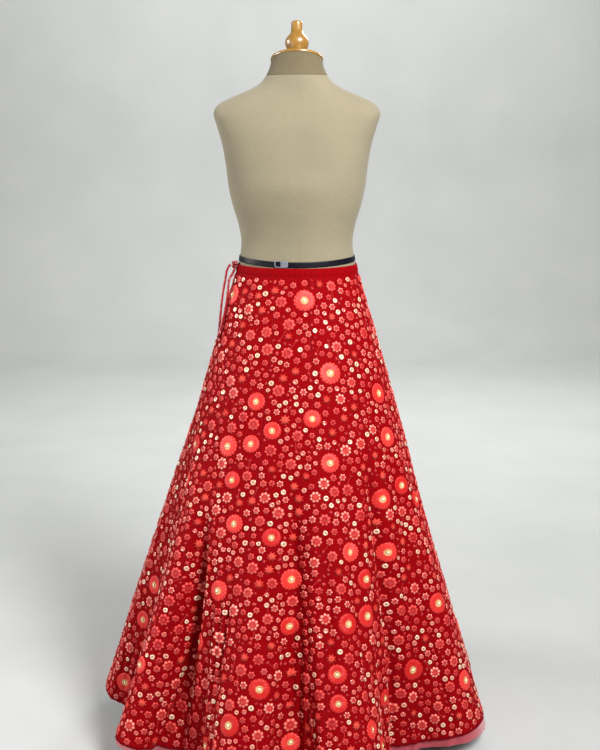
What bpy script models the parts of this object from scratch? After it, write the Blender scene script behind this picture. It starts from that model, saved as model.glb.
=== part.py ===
# A flared lehenga skirt of twelve kalis, standing on a limbless dress form.
# Metres, +Z up. The origin is the middle of the stand's underside, on the floor.
# The garment's back faces -Y. The side opening and its drawstring are at -X.
# An azimuth is measured from -Y, in degrees, and grows towards +X.

from collections import namedtuple
from math import cos, pi, radians, sin

import bpy
import numpy as np

# Clearances
SEAM_GAP = 0.0003  # between two pieces that are sewn or stand together
FORM_GAP = 0.0005  # between the waistband and the form that it sits on

# Skirt
KALIS = 12
WALL = 0.0024  # cloth with its thread work and lining
BAND_TOP_Z = 1.096
BAND_HEIGHT = 0.020
BAND_OPENING = 0.010  # between the casing's ends, where the cord comes out
AROUND_BAND = 72
KALI_LENGTH = 1.068  # down the cloth, from the waistband to the hem
HEM_RADIUS = 0.415  # mean radius of the hem in plan
SIDE_BULGE = 0.009  # how far the middle of the cone stands out of a straight one
FOLD_POWER = 1.3  # how late the folds deepen on the way down
FLANK_STEEPNESS = 0.55  # 0 gives sine folds, 1 gives flanks that point to the axis
OPENING_AZIMUTH = -80.0  # the first seam, with the side opening
LEAST_FALL = 0.3  # of each step down the cloth, where a fold runs out almost level

# Where each fold stands out and falls back at the hem, going round from the left side.
# start is how far down the skirt the fold begins, from 0 at the band to 1 at the hem.
Fold = namedtuple("Fold", "crest_azimuth crest_radius valley_azimuth valley_radius start")
FOLDS = (
    Fold(-97, 0.470, -72, 0.380, 0.28),
    Fold(-55, 0.478, -44, 0.350, 0.33),
    Fold(-14, 0.460, -2, 0.400, 0.50),
    Fold(13, 0.462, 43, 0.326, 0.40),
    Fold(71, 0.452, 93, 0.384, 0.38),
    Fold(112, 0.464, 131, 0.355, 0.36),
    Fold(150, 0.470, 168, 0.366, 0.44),
    Fold(187, 0.456, 205, 0.350, 0.38),
    Fold(223, 0.478, 241, 0.362, 0.36),
)

# Net flounce, sewn inside the hem
NET_WALL = 0.001
NET_RISE = 0.080  # how far above the hem it begins
NET_DROP = 0.022  # how far below the hem it ends, on average
NET_DROP_WAVE = 0.006
NET_WAVES = 5

# Dress form: sections of the torso, from its underside to the root of the neck.
Section = namedtuple("Section", "z half_width half_depth offset_y squareness")
TORSO = (
    Section(0.800, 0.148, 0.108, 0.000, 2.2),
    Section(0.812, 0.153, 0.114, 0.000, 2.2),
    Section(0.880, 0.162, 0.120, -0.002, 2.1),
    Section(0.960, 0.156, 0.114, -0.002, 2.0),
    Section(1.030, 0.144, 0.109, 0.000, 2.0),
    Section(1.0757, 0.1345, 0.1045, 0.000, 2.0),
    Section(1.0963, 0.1305, 0.1015, 0.000, 2.0),
    Section(1.120, 0.1265, 0.0990, 0.000, 2.0),
    Section(1.145, 0.1245, 0.0985, 0.001, 2.0),
    Section(1.185, 0.131, 0.103, 0.004, 2.1),
    Section(1.225, 0.143, 0.112, 0.008, 2.2),
    Section(1.265, 0.152, 0.121, 0.012, 2.2),
    Section(1.310, 0.157, 0.112, 0.009, 2.3),
    Section(1.360, 0.165, 0.098, 0.003, 2.4),
    Section(1.400, 0.176, 0.086, 0.000, 2.5),
    Section(1.428, 0.182, 0.076, 0.000, 2.5),
    Section(1.446, 0.170, 0.069, 0.000, 2.3),
    Section(1.462, 0.138, 0.064, 0.000, 2.1),
    Section(1.476, 0.104, 0.061, 0.000, 2.0),
    Section(1.490, 0.080, 0.060, 0.000, 2.0),
    Section(1.507, 0.0665, 0.0590, 0.000, 2.0),
)
AROUND_FORM = 40

# Neck, its plate and the finial
NECK_TOP_Z = 1.536
NECK_TOP_RADIUS = 0.0560
NECK_WAIST = 0.03  # share by which the neck is slimmer halfway up
NECK_TILT = radians(20.5)  # the top slopes down to the front
PLATE_THICKNESS = 0.006
PLATE_OVERHANG = 0.0012
PLATE_BEVEL = 0.0012
AROUND_FINIAL = 24
FINIAL = (  # height above the plate, radius
    (0.000, 0.0190),
    (0.004, 0.0205),
    (0.009, 0.0190),
    (0.014, 0.0172),
    (0.020, 0.0205),
    (0.028, 0.0245),
    (0.035, 0.0258),
    (0.042, 0.0248),
    (0.049, 0.0205),
    (0.056, 0.0156),
    (0.062, 0.0134),
    (0.074, 0.0126),
    (0.080, 0.0128),
    (0.083, 0.0116),
)

# Elastic round the form's waist, with its slider
ELASTIC_HEIGHT = 0.012
ELASTIC_WALL = 0.0016
ELASTIC_BACK_Z = 1.1035
ELASTIC_SIDE_Z = 1.1090
SLIDER_AZIMUTH = -15.0
SLIDER_WIDTH = 0.030
SLIDER_HEIGHT = 0.0150
SLIDER_WALL = 0.0022
SLIDER_LIFT = 0.0012  # of its middle over the elastic's
AROUND_SLIDER = 8

# Stand
BASE_RADIUS = 0.175
BASE_HEIGHT = 0.012
POLE_RADIUS = 0.014
COLLAR_RADIUS = 0.034
COLLAR_HEIGHT = 0.030
STAND_BEVEL = 0.002
AROUND_STAND = 48

# Drawstring: a satin cord that leaves the casing at the side opening and hangs free.
CORD_RADIUS = 0.0027
KNOT_CENTRE = (-0.1389, -0.0200, 1.0962)
KNOT_SIZE = (0.0066, 0.0080, 0.0098)
OUTER_CORD = (
    (-0.1470, -0.0201, 1.0956),
    (-0.1494, -0.0203, 1.0942),
    (-0.1532, -0.0207, 1.0895),
    (-0.1572, -0.0213, 1.0805),
    (-0.1600, -0.0225, 1.0640),
    (-0.1635, -0.0250, 1.0464),
    (-0.1670, -0.0300, 1.0237),
    (-0.1708, -0.0360, 0.9894),
    (-0.1742, -0.0420, 0.9549),
    (-0.1762, -0.0450, 0.9319),
)
INNER_CORD = (
    (-0.1397, -0.0203, 1.0863),
    (-0.1399, -0.0205, 1.0838),
    (-0.1440, -0.0225, 1.0750),
    (-0.1520, -0.0290, 1.0600),
    (-0.1540, -0.0345, 1.0400),
    (-0.1570, -0.0390, 1.0150),
    (-0.1632, -0.0440, 0.9849),
    (-0.1705, -0.0500, 0.9549),
    (-0.1738, -0.0525, 0.9400),
)
CORD_POINTS = 24
SPAN_STEPS = 20  # between two points of a route, where its curve is worked out
END_KNOT = 1.55  # radius of the knot at a cord's end, in cord radii
END_TIP = 0.8  # radius of the cut end behind that knot, in cord radii
AROUND_KNOT = 12
KNOT_RINGS = 7

# Mesh density of a kali
ACROSS = 11
DOWN = (0.0, 0.15, 0.30, 0.42, 0.53, 0.63, 0.72, 0.80, 0.87, 0.935, 1.0)
DENSE_DOWN = 160
DENSE_FOLD = 48
NORMAL_REACH = 0.0004  # share of the way round on each side of a point, for its normal


# Materials


def material(name, colour, roughness, metallic=0.0):
    made = bpy.data.materials.new(name)
    made.use_nodes = True
    made.diffuse_color = (*colour, 1.0)
    shader = made.node_tree.nodes["Principled BSDF"]
    shader.inputs["Base Color"].default_value = (*colour, 1.0)
    shader.inputs["Roughness"].default_value = roughness
    shader.inputs["Metallic"].default_value = metallic
    return made


# Meshes


def add_mesh(name, points, faces, finish, smooth_angle=radians(35)):
    mesh = bpy.data.meshes.new(name)
    mesh.from_pydata([tuple(point) for point in points], [], faces)
    mesh.validate()
    mesh.shade_smooth()
    mesh.set_sharp_from_angle(angle=smooth_angle)
    mesh.materials.append(finish)
    made = bpy.data.objects.new(name, mesh)
    bpy.context.scene.collection.objects.link(made)
    return made


def split(quad, flip):
    """Two triangles of a quad, always along its first diagonal, so that two walls that
    face each other over a small gap are split the same way."""
    a, b, c, d = quad
    return [(c, b, a), (d, c, a)] if flip else [(a, b, c), (a, c, d)]


def grid_faces(rows, columns, first, closed, flip):
    """Triangles of a grid of points. closed joins the last column to the first."""
    faces = []
    for row in range(rows - 1):
        for column in range(columns if closed else columns - 1):
            after = (column + 1) % columns
            above, below = first + row * columns, first + (row + 1) * columns
            faces += split((above + column, above + after, below + after, below + column), flip)
    return faces


def rim_faces(outer, inner, flip):
    """Triangles that join one line of points to another of the same length."""
    faces = []
    for index in range(len(outer) - 1):
        faces += split((outer[index], inner[index], inner[index + 1], outer[index + 1]), flip)
    return faces


def wall(outer, inner, closed):
    """Points and faces of a wall between two grids, whose rows run down and columns go round."""
    rows, columns = outer.shape[:2]
    count = rows * columns
    points = np.concatenate((outer.reshape(-1, 3), inner.reshape(-1, 3)))
    faces = grid_faces(rows, columns, 0, closed, True)
    faces += grid_faces(rows, columns, count, closed, False)
    index = np.arange(count).reshape(rows, columns)
    ring = list(range(columns)) + ([0] if closed else [])
    top, bottom = index[0, ring].tolist(), index[-1, ring].tolist()
    faces += rim_faces(top, [i + count for i in top], True)
    faces += rim_faces(bottom, [i + count for i in bottom], False)
    if not closed:
        left, right = index[:, 0].tolist(), index[:, -1].tolist()
        faces += rim_faces(left, [i + count for i in left], False)
        faces += rim_faces(right, [i + count for i in right], True)
    return points, faces


def stack(rings, cap_bottom=True, cap_top=True):
    """Points and faces of a solid through rings of the same count, from the lowest up."""
    rings = np.asarray(rings)
    rows, columns = rings.shape[:2]
    faces = grid_faces(rows, columns, 0, True, False)
    if cap_bottom:
        faces.append(tuple(range(columns))[::-1])
    if cap_top:
        faces.append(tuple(range((rows - 1) * columns, rows * columns)))
    return rings.reshape(-1, 3), faces


def turned(profile, count, centre=(0.0, 0.0, 0.0)):
    """Points and faces of a turned solid, from (height, radius) pairs, lowest first."""
    angle = np.linspace(0, 2 * pi, count, endpoint=False)
    rings = [
        np.stack((radius * np.cos(angle), radius * np.sin(angle), np.full(count, height)), axis=1)
        for height, radius in profile
    ]
    points, faces = stack(rings)
    return points + np.array(centre), faces


# Shape of the skirt


def form_half_sizes(z):
    """Half width and half depth of the form at a height."""
    heights = [row.z for row in TORSO]
    width = np.interp(z, heights, [row.half_width for row in TORSO])
    depth = np.interp(z, heights, [row.half_depth for row in TORSO])
    return width, depth


def band_section(z):
    """Half width and half depth of the waistband's outer face: the form's own, moved out."""
    width, depth = form_half_sizes(z)
    return width + FORM_GAP + WALL, depth + FORM_GAP + WALL


def half_sizes(down):
    """Half width and half depth of the plain cone under the folds, down in 0 to 1."""
    bulge = SIDE_BULGE * np.sin(pi * down)
    top = band_section(BAND_TOP_Z - BAND_HEIGHT)
    width = top[0] + (HEM_RADIUS - top[0]) * down + bulge
    depth = top[1] + (HEM_RADIUS - top[1]) * down + bulge
    return width, depth


def fold_turns():
    """The crests and valleys in order round the hem: azimuth, radius and start."""
    turns = []
    for fold in FOLDS:
        turns.append((fold.crest_azimuth, fold.crest_radius, fold.start))
        turns.append((fold.valley_azimuth, fold.valley_radius, fold.start))
    first = turns[0]
    turns.append((first[0] + 360, first[1], first[2]))
    return np.array(turns)


def plan_curve(down):
    """The closed plan of the skirt at one level: azimuths in degrees, x and y."""
    turns = fold_turns()
    step = np.linspace(0, 1, DENSE_FOLD, endpoint=False)
    ease = (1 - np.cos(pi * step)) / 2
    azimuth, radius = [], []
    for before, after in zip(turns[:-1], turns[1:]):
        begin = before[2] + (after[2] - before[2]) * ease
        grown = np.clip((down - begin) / (1 - begin), 0, 1) ** FOLD_POWER
        steep = FLANK_STEEPNESS * grown * np.sin(2 * pi * step) / (2 * pi)
        azimuth.append(before[0] + (after[0] - before[0]) * (step + steep))
        radius.append((before[1] + (after[1] - before[1]) * ease - HEM_RADIUS) * grown)
    azimuth = np.concatenate(azimuth)
    across, along = np.sin(np.radians(azimuth)), np.cos(np.radians(azimuth))
    width, depth = half_sizes(down)
    plain = 1 / np.sqrt((across / width) ** 2 + (along / depth) ** 2)
    reach = plain + np.concatenate(radius)
    return azimuth, reach * across, -reach * along


def skirt_levels():
    """For each of DENSE_DOWN levels: distances round the plan, its x and y, from the opening."""
    levels = []
    for down in np.linspace(0, 1, DENSE_DOWN + 1):
        azimuth, x, y = plan_curve(down)
        azimuth = np.append(azimuth, azimuth[0] + 360)
        x, y = np.append(x, x[0]), np.append(y, y[0])
        along = np.concatenate(([0], np.cumsum(np.hypot(np.diff(x), np.diff(y)))))
        levels.append((along, x, y, np.interp(OPENING_AZIMUTH, azimuth, along)))
    return levels


LEVELS = skirt_levels()


def perimeters():
    return np.array([level[0][-1] for level in LEVELS])


def skirt_columns(share):
    """Points down the outer face at each share of the way round, one column for each share.
    share may vary down the skirt: its shape is (DENSE_DOWN + 1, columns)."""
    x, y = np.empty(share.shape), np.empty(share.shape)
    for row, (along, plan_x, plan_y, opening) in enumerate(LEVELS):
        target = (opening + share[row] * along[-1]) % along[-1]
        x[row] = np.interp(target, along, plan_x)
        y[row] = np.interp(target, along, plan_y)
    travel = np.hypot(np.diff(x, axis=0), np.diff(y, axis=0))
    step = KALI_LENGTH / DENSE_DOWN
    fall = np.sqrt(np.maximum(step**2 - travel**2, (LEAST_FALL * step) ** 2))
    drop = np.concatenate((np.zeros((1, share.shape[1])), np.cumsum(fall, axis=0)))
    z = BAND_TOP_Z - BAND_HEIGHT - SEAM_GAP - drop
    return np.stack((x, y, z), axis=2)


def points_and_normals(share):
    """Points of the outer face and their unit normals, from the columns on each side."""
    points = skirt_columns(share)
    across = skirt_columns(share + NORMAL_REACH) - skirt_columns(share - NORMAL_REACH)
    normal = np.cross(np.gradient(points, axis=0), across)
    return points, normal / np.linalg.norm(normal, axis=2, keepdims=True)


def skirt_grid(first, last, count):
    """Points and normals of the outer face between two seams, at every dense level."""
    gap = SEAM_GAP / 2 / perimeters()[:, None]
    spread = np.linspace(0, 1, count)[None, :]
    return points_and_normals(first + gap + (last - first - 2 * gap) * spread)


def rows_at(downs):
    return [round(down * DENSE_DOWN) for down in downs]


def add_kalis(finish):
    rows = rows_at(DOWN)
    for number in range(KALIS):
        points, normals = skirt_grid(number / KALIS, (number + 1) / KALIS, ACROSS + 1)
        outer, normals = points[rows], normals[rows]
        add_mesh(f"kali_{number + 1:02d}", *wall(outer, outer - normals * WALL, False), finish)


def add_net_flounce(finish):
    """A ring of net that follows the inside of the hem and shows below it."""
    count = KALIS * ACROSS
    share = np.tile(np.arange(count) / count, (DENSE_DOWN + 1, 1))
    points, normals = points_and_normals(share)
    rows = [row for row in rows_at(DOWN) if row >= (1 - NET_RISE / KALI_LENGTH) * DENSE_DOWN]
    inset = WALL + SEAM_GAP
    outer = points[rows] - normals[rows] * inset
    inner = outer - normals[rows] * NET_WALL
    drop = NET_DROP + NET_DROP_WAVE * np.sin(2 * pi * NET_WAVES * share[0])
    slope = points[-1] - points[-2]
    slope = slope / np.linalg.norm(slope, axis=1, keepdims=True)
    lowest = slope * drop[:, None]
    outer = np.concatenate((outer, (outer[-1] + lowest)[None]))
    inner = np.concatenate((inner, (inner[-1] + lowest)[None]))
    add_mesh("net_flounce", *wall(outer, inner, True), finish)


def add_waistband(finish):
    """The drawstring's casing, open at the side where the cord comes out."""
    gap = BAND_OPENING / perimeters()[0]
    azimuth = np.radians(OPENING_AZIMUTH) + 2 * pi * np.linspace(gap / 2, 1 - gap / 2, AROUND_BAND + 1)
    faces_at = []
    for out in (0.0, -WALL):
        rows = []
        for z in (BAND_TOP_Z, BAND_TOP_Z - BAND_HEIGHT):
            width, depth = band_section(z)
            x, y = (width + out) * np.sin(azimuth), -(depth + out) * np.cos(azimuth)
            rows.append(np.stack((x, y, np.full(AROUND_BAND + 1, z)), axis=1))
        faces_at.append(np.array(rows))
    add_mesh("waistband", *wall(faces_at[0], faces_at[1], False), finish)


# Drawstring


def smooth_route(points, count):
    """count points along a Catmull-Rom curve through the given ones, evenly spaced."""
    knots = np.array(points)
    ends = np.concatenate(([2 * knots[0] - knots[1]], knots, [2 * knots[-1] - knots[-2]]))
    curve = []
    for before, start, stop, after in zip(ends[:-3], ends[1:-2], ends[2:-1], ends[3:]):
        for t in np.linspace(0, 1, SPAN_STEPS, endpoint=False):
            curve.append(
                0.5
                * (
                    2 * start
                    + (stop - before) * t
                    + (2 * before - 5 * start + 4 * stop - after) * t**2
                    + (3 * start - before - 3 * stop + after) * t**3
                )
            )
    curve = np.array(curve + [knots[-1]])
    along = np.concatenate(([0], np.cumsum(np.linalg.norm(np.diff(curve, axis=0), axis=1))))
    target = np.linspace(0, along[-1], count)
    return np.stack([np.interp(target, along, curve[:, axis]) for axis in range(3)], axis=1)


def add_cord(name, route, finish):
    """A round cord with a knot tied in its free end."""
    points = smooth_route(route, CORD_POINTS)
    curve = bpy.data.curves.new(name, "CURVE")
    curve.dimensions = "3D"
    curve.bevel_depth = CORD_RADIUS
    curve.bevel_resolution = 2
    curve.use_fill_caps = True
    spline = curve.splines.new("POLY")
    spline.points.add(len(points) - 1)
    for index, (point, place) in enumerate(zip(spline.points, points)):
        from_end = len(points) - 1 - index
        point.co = (*place, 1.0)
        point.radius = {0: END_TIP, 1: END_KNOT}.get(from_end, 1.0)
    curve.materials.append(finish)
    made = bpy.data.objects.new(name, curve)
    bpy.context.scene.collection.objects.link(made)


def add_knot(finish):
    """The knot where the two ends of the drawstring are tied at the opening."""
    slopes = np.linspace(radians(12), radians(168), KNOT_RINGS)
    points, faces = turned([(-cos(slope), sin(slope)) for slope in slopes], AROUND_KNOT)
    add_mesh("drawstring_knot", points * np.array(KNOT_SIZE) + np.array(KNOT_CENTRE), faces, finish)


# Dress form and stand


def section_ring(section, count):
    """One closed section of the form, as a rounded ellipse."""
    angle = np.linspace(0, 2 * pi, count, endpoint=False)
    power = 2 / section.squareness
    x = section.half_width * np.sign(np.cos(angle)) * np.abs(np.cos(angle)) ** power
    y = section.half_depth * np.sign(np.sin(angle)) * np.abs(np.sin(angle)) ** power
    return np.stack((x, y + section.offset_y, np.full(count, section.z)), axis=1)


def add_torso(finish):
    add_mesh("form_torso", *stack([section_ring(row, AROUND_FORM) for row in TORSO]), finish)


def tilted_ring(radius, centre_z, tilt, count):
    """A circle that slopes down to the front, +Y, by tilt."""
    angle = np.linspace(0, 2 * pi, count, endpoint=False)
    x, y = radius * np.cos(angle), radius * np.sin(angle)
    return np.stack((x, y * cos(tilt), centre_z - y * sin(tilt)), axis=1)


def add_neck(finish):
    """The neck rises from the torso's top and turns to the slope of its plate."""
    root = TORSO[-1]
    start = root._replace(z=root.z + SEAM_GAP)
    low = section_ring(start, AROUND_FORM)
    high = tilted_ring(NECK_TOP_RADIUS, NECK_TOP_Z - SEAM_GAP, NECK_TILT, AROUND_FORM)
    rings = []
    for part in (0.0, 0.25, 0.5, 0.75, 1.0):
        waist = 1 - NECK_WAIST * sin(pi * part)
        ring = low + (high - low) * part
        ring[:, :2] *= waist
        rings.append(ring)
    add_mesh("form_neck", *stack(rings), finish)


def on_plate(points):
    """Turns points that stand on z = 0 onto the sloping top of the neck."""
    x, y, z = points[:, 0], points[:, 1], points[:, 2]
    turned_y = y * cos(NECK_TILT) + z * sin(NECK_TILT)
    turned_z = -y * sin(NECK_TILT) + z * cos(NECK_TILT)
    return np.stack((x, turned_y, turned_z + NECK_TOP_Z), axis=1)


def add_neck_plate(finish):
    edge = NECK_TOP_RADIUS + PLATE_OVERHANG
    profile = (
        (0.0, edge - PLATE_BEVEL),
        (PLATE_BEVEL, edge),
        (PLATE_THICKNESS - PLATE_BEVEL, edge),
        (PLATE_THICKNESS, edge - PLATE_BEVEL),
    )
    points, faces = turned(profile, AROUND_FORM)
    add_mesh("neck_plate", on_plate(points), faces, finish)


def add_finial(finish):
    seat = PLATE_THICKNESS + SEAM_GAP
    points, faces = turned([(height + seat, radius) for height, radius in FINIAL], AROUND_FINIAL)
    add_mesh("finial", on_plate(points), faces, finish)


def ellipse_wall(azimuths, out, thickness, low, high):
    """A wall round the form's waist: low and high are its heights at each azimuth."""
    faces_at = []
    for extra in (out + thickness, out):
        rows = []
        for z in (high, low):
            width, depth = form_half_sizes(z)
            x, y = (width + extra) * np.sin(azimuths), -(depth + extra) * np.cos(azimuths)
            rows.append(np.stack((x, y, z), axis=1))
        faces_at.append(np.array(rows))
    return faces_at


def elastic_middle(azimuths):
    """The elastic's height: it dips at the middle of the back."""
    side = np.sin(azimuths) ** 2
    return ELASTIC_BACK_Z + (ELASTIC_SIDE_Z - ELASTIC_BACK_Z) * side


def add_elastic(finish):
    azimuths = np.linspace(0, 2 * pi, AROUND_FORM, endpoint=False)
    middle = elastic_middle(azimuths)
    half = ELASTIC_HEIGHT / 2
    outer, inner = ellipse_wall(azimuths, SEAM_GAP, ELASTIC_WALL, middle - half, middle + half)
    add_mesh("form_elastic", *wall(outer, inner, True), finish)


def add_slider(finish):
    """A flat slider that the elastic runs through."""
    half_angle = SLIDER_WIDTH / 2 / form_half_sizes(ELASTIC_BACK_Z)[0]
    azimuths = radians(SLIDER_AZIMUTH) + np.linspace(-half_angle, half_angle, AROUND_SLIDER + 1)
    middle = elastic_middle(azimuths) + SLIDER_LIFT
    half = SLIDER_HEIGHT / 2
    seat = SEAM_GAP + ELASTIC_WALL + SEAM_GAP
    outer, inner = ellipse_wall(azimuths, seat, SLIDER_WALL, middle - half, middle + half)
    add_mesh("elastic_slider", *wall(outer, inner, False), finish)


def add_stand(finish):
    underside = TORSO[0].z - SEAM_GAP
    pole_low = BASE_HEIGHT + SEAM_GAP
    collar_low = underside - COLLAR_HEIGHT
    base = (
        (0.0, BASE_RADIUS),
        (BASE_HEIGHT - STAND_BEVEL, BASE_RADIUS),
        (BASE_HEIGHT, BASE_RADIUS - STAND_BEVEL),
    )
    pole = ((pole_low, POLE_RADIUS), (collar_low - SEAM_GAP, POLE_RADIUS))
    collar = (
        (collar_low, COLLAR_RADIUS - STAND_BEVEL),
        (collar_low + STAND_BEVEL, COLLAR_RADIUS),
        (underside, COLLAR_RADIUS),
    )
    for name, profile in (("stand_base", base), ("stand_pole", pole), ("stand_collar", collar)):
        add_mesh(name, *turned(profile, AROUND_STAND), finish)


def main():
    for old in list(bpy.data.objects):
        bpy.data.objects.remove(old)
    cloth = material("red_embroidered_cloth", (0.42, 0.0, 0.006), 0.6)
    net = material("red_net", (0.55, 0.05, 0.07), 0.7)
    satin = material("red_satin_cord", (0.30, 0.0, 0.012), 0.35)
    linen = material("olive_linen", (0.45, 0.42, 0.29), 0.85)
    oak = material("lacquered_oak", (0.62, 0.32, 0.06), 0.25)
    elastic = material("black_elastic", (0.01, 0.01, 0.014), 0.4)
    plastic = material("grey_plastic", (0.35, 0.36, 0.38), 0.3)
    steel = material("painted_steel", (0.05, 0.05, 0.05), 0.45, 0.6)
    add_kalis(cloth)
    add_waistband(cloth)
    add_net_flounce(net)
    add_knot(satin)
    add_cord("drawstring_outer", OUTER_CORD, satin)
    add_cord("drawstring_inner", INNER_CORD, satin)
    add_torso(linen)
    add_neck(linen)
    add_neck_plate(oak)
    add_finial(oak)
    add_elastic(elastic)
    add_slider(plastic)
    add_stand(steel)


main()
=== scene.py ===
# The finished look of a flared lehenga skirt of twelve embroidered kalis, on a limbless dress form.
# Lengths are in metres where a name doesn't say otherwise. An azimuth is in degrees from -Y, and
# grows towards +X. share is a place along the way round the skirt, from 0 to 1 from its side
# opening, and down is 0 at the waistband and 1 at the hem.

from math import cos, pi, radians, sin

import bpy
import numpy as np
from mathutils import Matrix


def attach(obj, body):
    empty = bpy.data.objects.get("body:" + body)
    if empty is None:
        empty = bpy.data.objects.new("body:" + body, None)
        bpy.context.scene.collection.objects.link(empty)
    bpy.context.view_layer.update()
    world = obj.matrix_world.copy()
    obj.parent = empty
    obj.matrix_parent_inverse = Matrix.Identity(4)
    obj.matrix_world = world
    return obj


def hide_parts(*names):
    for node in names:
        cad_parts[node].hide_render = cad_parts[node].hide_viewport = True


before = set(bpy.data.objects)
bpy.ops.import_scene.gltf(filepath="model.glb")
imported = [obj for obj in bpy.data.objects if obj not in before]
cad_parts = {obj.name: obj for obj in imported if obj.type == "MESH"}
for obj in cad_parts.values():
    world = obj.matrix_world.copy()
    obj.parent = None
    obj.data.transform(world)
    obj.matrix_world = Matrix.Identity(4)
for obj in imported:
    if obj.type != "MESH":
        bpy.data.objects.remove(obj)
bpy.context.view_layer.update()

oneBody = "root"
mm = 0.001


# Camera, at the photograph's height and tilt

cameraSet = {
    "place": (0.0067, -2.8, 1.434),
    "tilt": 78,  # degrees up from straight down
    "lens": 60,
    "sensor": 36,
}


def addCamera(look):
    data = bpy.data.cameras.new("photoCamera")
    data.lens, data.sensor_width = look["lens"], look["sensor"]
    camera = bpy.data.objects.new("photoCamera", data)
    camera.location = look["place"]
    camera.rotation_euler = (radians(look["tilt"]), 0, 0)
    bpy.context.scene.collection.objects.link(camera)
    bpy.context.scene.camera = camera


addCamera(cameraSet)
bpy.context.scene.view_settings.view_transform = "Standard"  # keeps the reds as deep as they are
print("camera set")


# Colours and nodes

# linear = c / 12.92 under 0.04045, and ((c + 0.055) / 1.055) ^ 2.4 above it
def hexColour(code, alpha=1.0):
    parts = [int(code[start:start + 2], 16) / 255 for start in (1, 3, 5)]
    linear = [c / 12.92 if c <= 0.04045 else ((c + 0.055) / 1.055) ** 2.4 for c in parts]
    return (*linear, alpha)


# One node with its own settings; an input is a value, or a socket that is linked to it
def addNode(tree, kind, settings=None, inputs=None):
    node = tree.nodes.new(kind)
    for name, value in (settings or {}).items():
        setattr(node, name, value)
    for name, value in (inputs or {}).items():
        if isinstance(value, bpy.types.NodeSocket):
            tree.links.new(value, node.inputs[name])
        else:
            node.inputs[name].default_value = value
    return node


def calculate(tree, operation, first, second=0.0, third=0.0):
    values = {0: first, 1: second, 2: third}
    return addNode(tree, "ShaderNodeMath", {"operation": operation}, values).outputs[0]


# Goes from 0 to 1 as value goes from low to high, with soft ends
def smoothStep(tree, value, low, high):
    settings = {"interpolation_type": "SMOOTHSTEP"}
    inputs = {"Value": value, "From Min": low, "From Max": high}
    return addNode(tree, "ShaderNodeMapRange", settings, inputs).outputs["Result"]


def mixColours(tree, factor, first, second, blend="MIX"):
    node = addNode(tree, "ShaderNodeMix", {"data_type": "RGBA", "blend_type": blend})
    for index, value in ((0, factor), (6, first), (7, second)):
        if isinstance(value, bpy.types.NodeSocket):
            tree.links.new(value, node.inputs[index])
        else:
            node.inputs[index].default_value = value
    return node.outputs[2]


def noise(tree, vector, scale, detail=2.0):
    inputs = {"Vector": vector, "Scale": scale, "Detail": detail}
    return addNode(tree, "ShaderNodeTexNoise", None, inputs).outputs["Fac"]


def bump(tree, height, distance, strength=1.0):
    inputs = {"Height": height, "Distance": distance, "Strength": strength}
    return addNode(tree, "ShaderNodeBump", None, inputs).outputs["Normal"]


def stretched(tree, vector, scale, turn=0.0):
    inputs = {"Vector": vector, "Scale": scale, "Rotation": (0, 0, turn)}
    return addNode(tree, "ShaderNodeMapping", None, inputs).outputs["Vector"]


def newMaterial(name, values):
    made = bpy.data.materials.new(name)
    made.use_nodes = True
    shader = made.node_tree.nodes["Principled BSDF"]
    for socket, value in values.items():
        shader.inputs[socket].default_value = value
    return made, made.node_tree, shader


def connect(tree, shader, sockets):
    for name, socket in sockets.items():
        tree.links.new(socket, shader.inputs[name])


def readUv(tree, name):
    return addNode(tree, "ShaderNodeUVMap", {"uv_map": name}).outputs["UV"]


def readPlace(tree):
    return addNode(tree, "ShaderNodeTexCoord").outputs["Object"]


# Meshes

# Quads of a grid whose points run row by row; closed joins the last column to the first
def gridQuads(rows, columns, closed=False, first=0, flip=False):
    index = np.arange(rows * columns).reshape(rows, columns) + first
    after = np.roll(index, -1, axis=1)
    if not closed:
        index, after = index[:, :-1], after[:, :-1]
    quads = np.stack((index[:-1], after[:-1], after[1:], index[1:]), axis=-1).reshape(-1, 4)
    return quads[:, ::-1] if flip else quads


# Quads of a tube whose last ring joins its first
def closedTubeQuads(rings, sides):
    index = np.arange(rings * sides).reshape(rings, sides)
    index = np.concatenate((index, index[:1]))
    after = np.roll(index, -1, axis=1)
    return np.stack((index[:-1], after[:-1], after[1:], index[1:]), axis=-1).reshape(-1, 4)


# Quads that join a line of points to another of the same count
def rimQuads(outer, inner, flip=False):
    quads = np.stack((outer[:-1], inner[:-1], inner[1:], outer[1:]), axis=-1)
    return quads[:, ::-1] if flip else quads


# A wall between two grids of points, rows down and columns round: its faces, inner ones last
def wallFaces(rows, columns, closed=False):
    count = rows * columns
    index = np.arange(count).reshape(rows, columns)
    ring = np.append(np.arange(columns), 0) if closed else np.arange(columns)
    faces = [gridQuads(rows, columns, closed, 0, True)]
    faces.append(rimQuads(index[0, ring], index[0, ring] + count, True))
    faces.append(rimQuads(index[-1, ring], index[-1, ring] + count))
    if not closed:
        faces.append(rimQuads(index[:, 0], index[:, 0] + count))
        faces.append(rimQuads(index[:, -1], index[:, -1] + count, True))
    faces.append(gridQuads(rows, columns, closed, count))
    return faces


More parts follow.
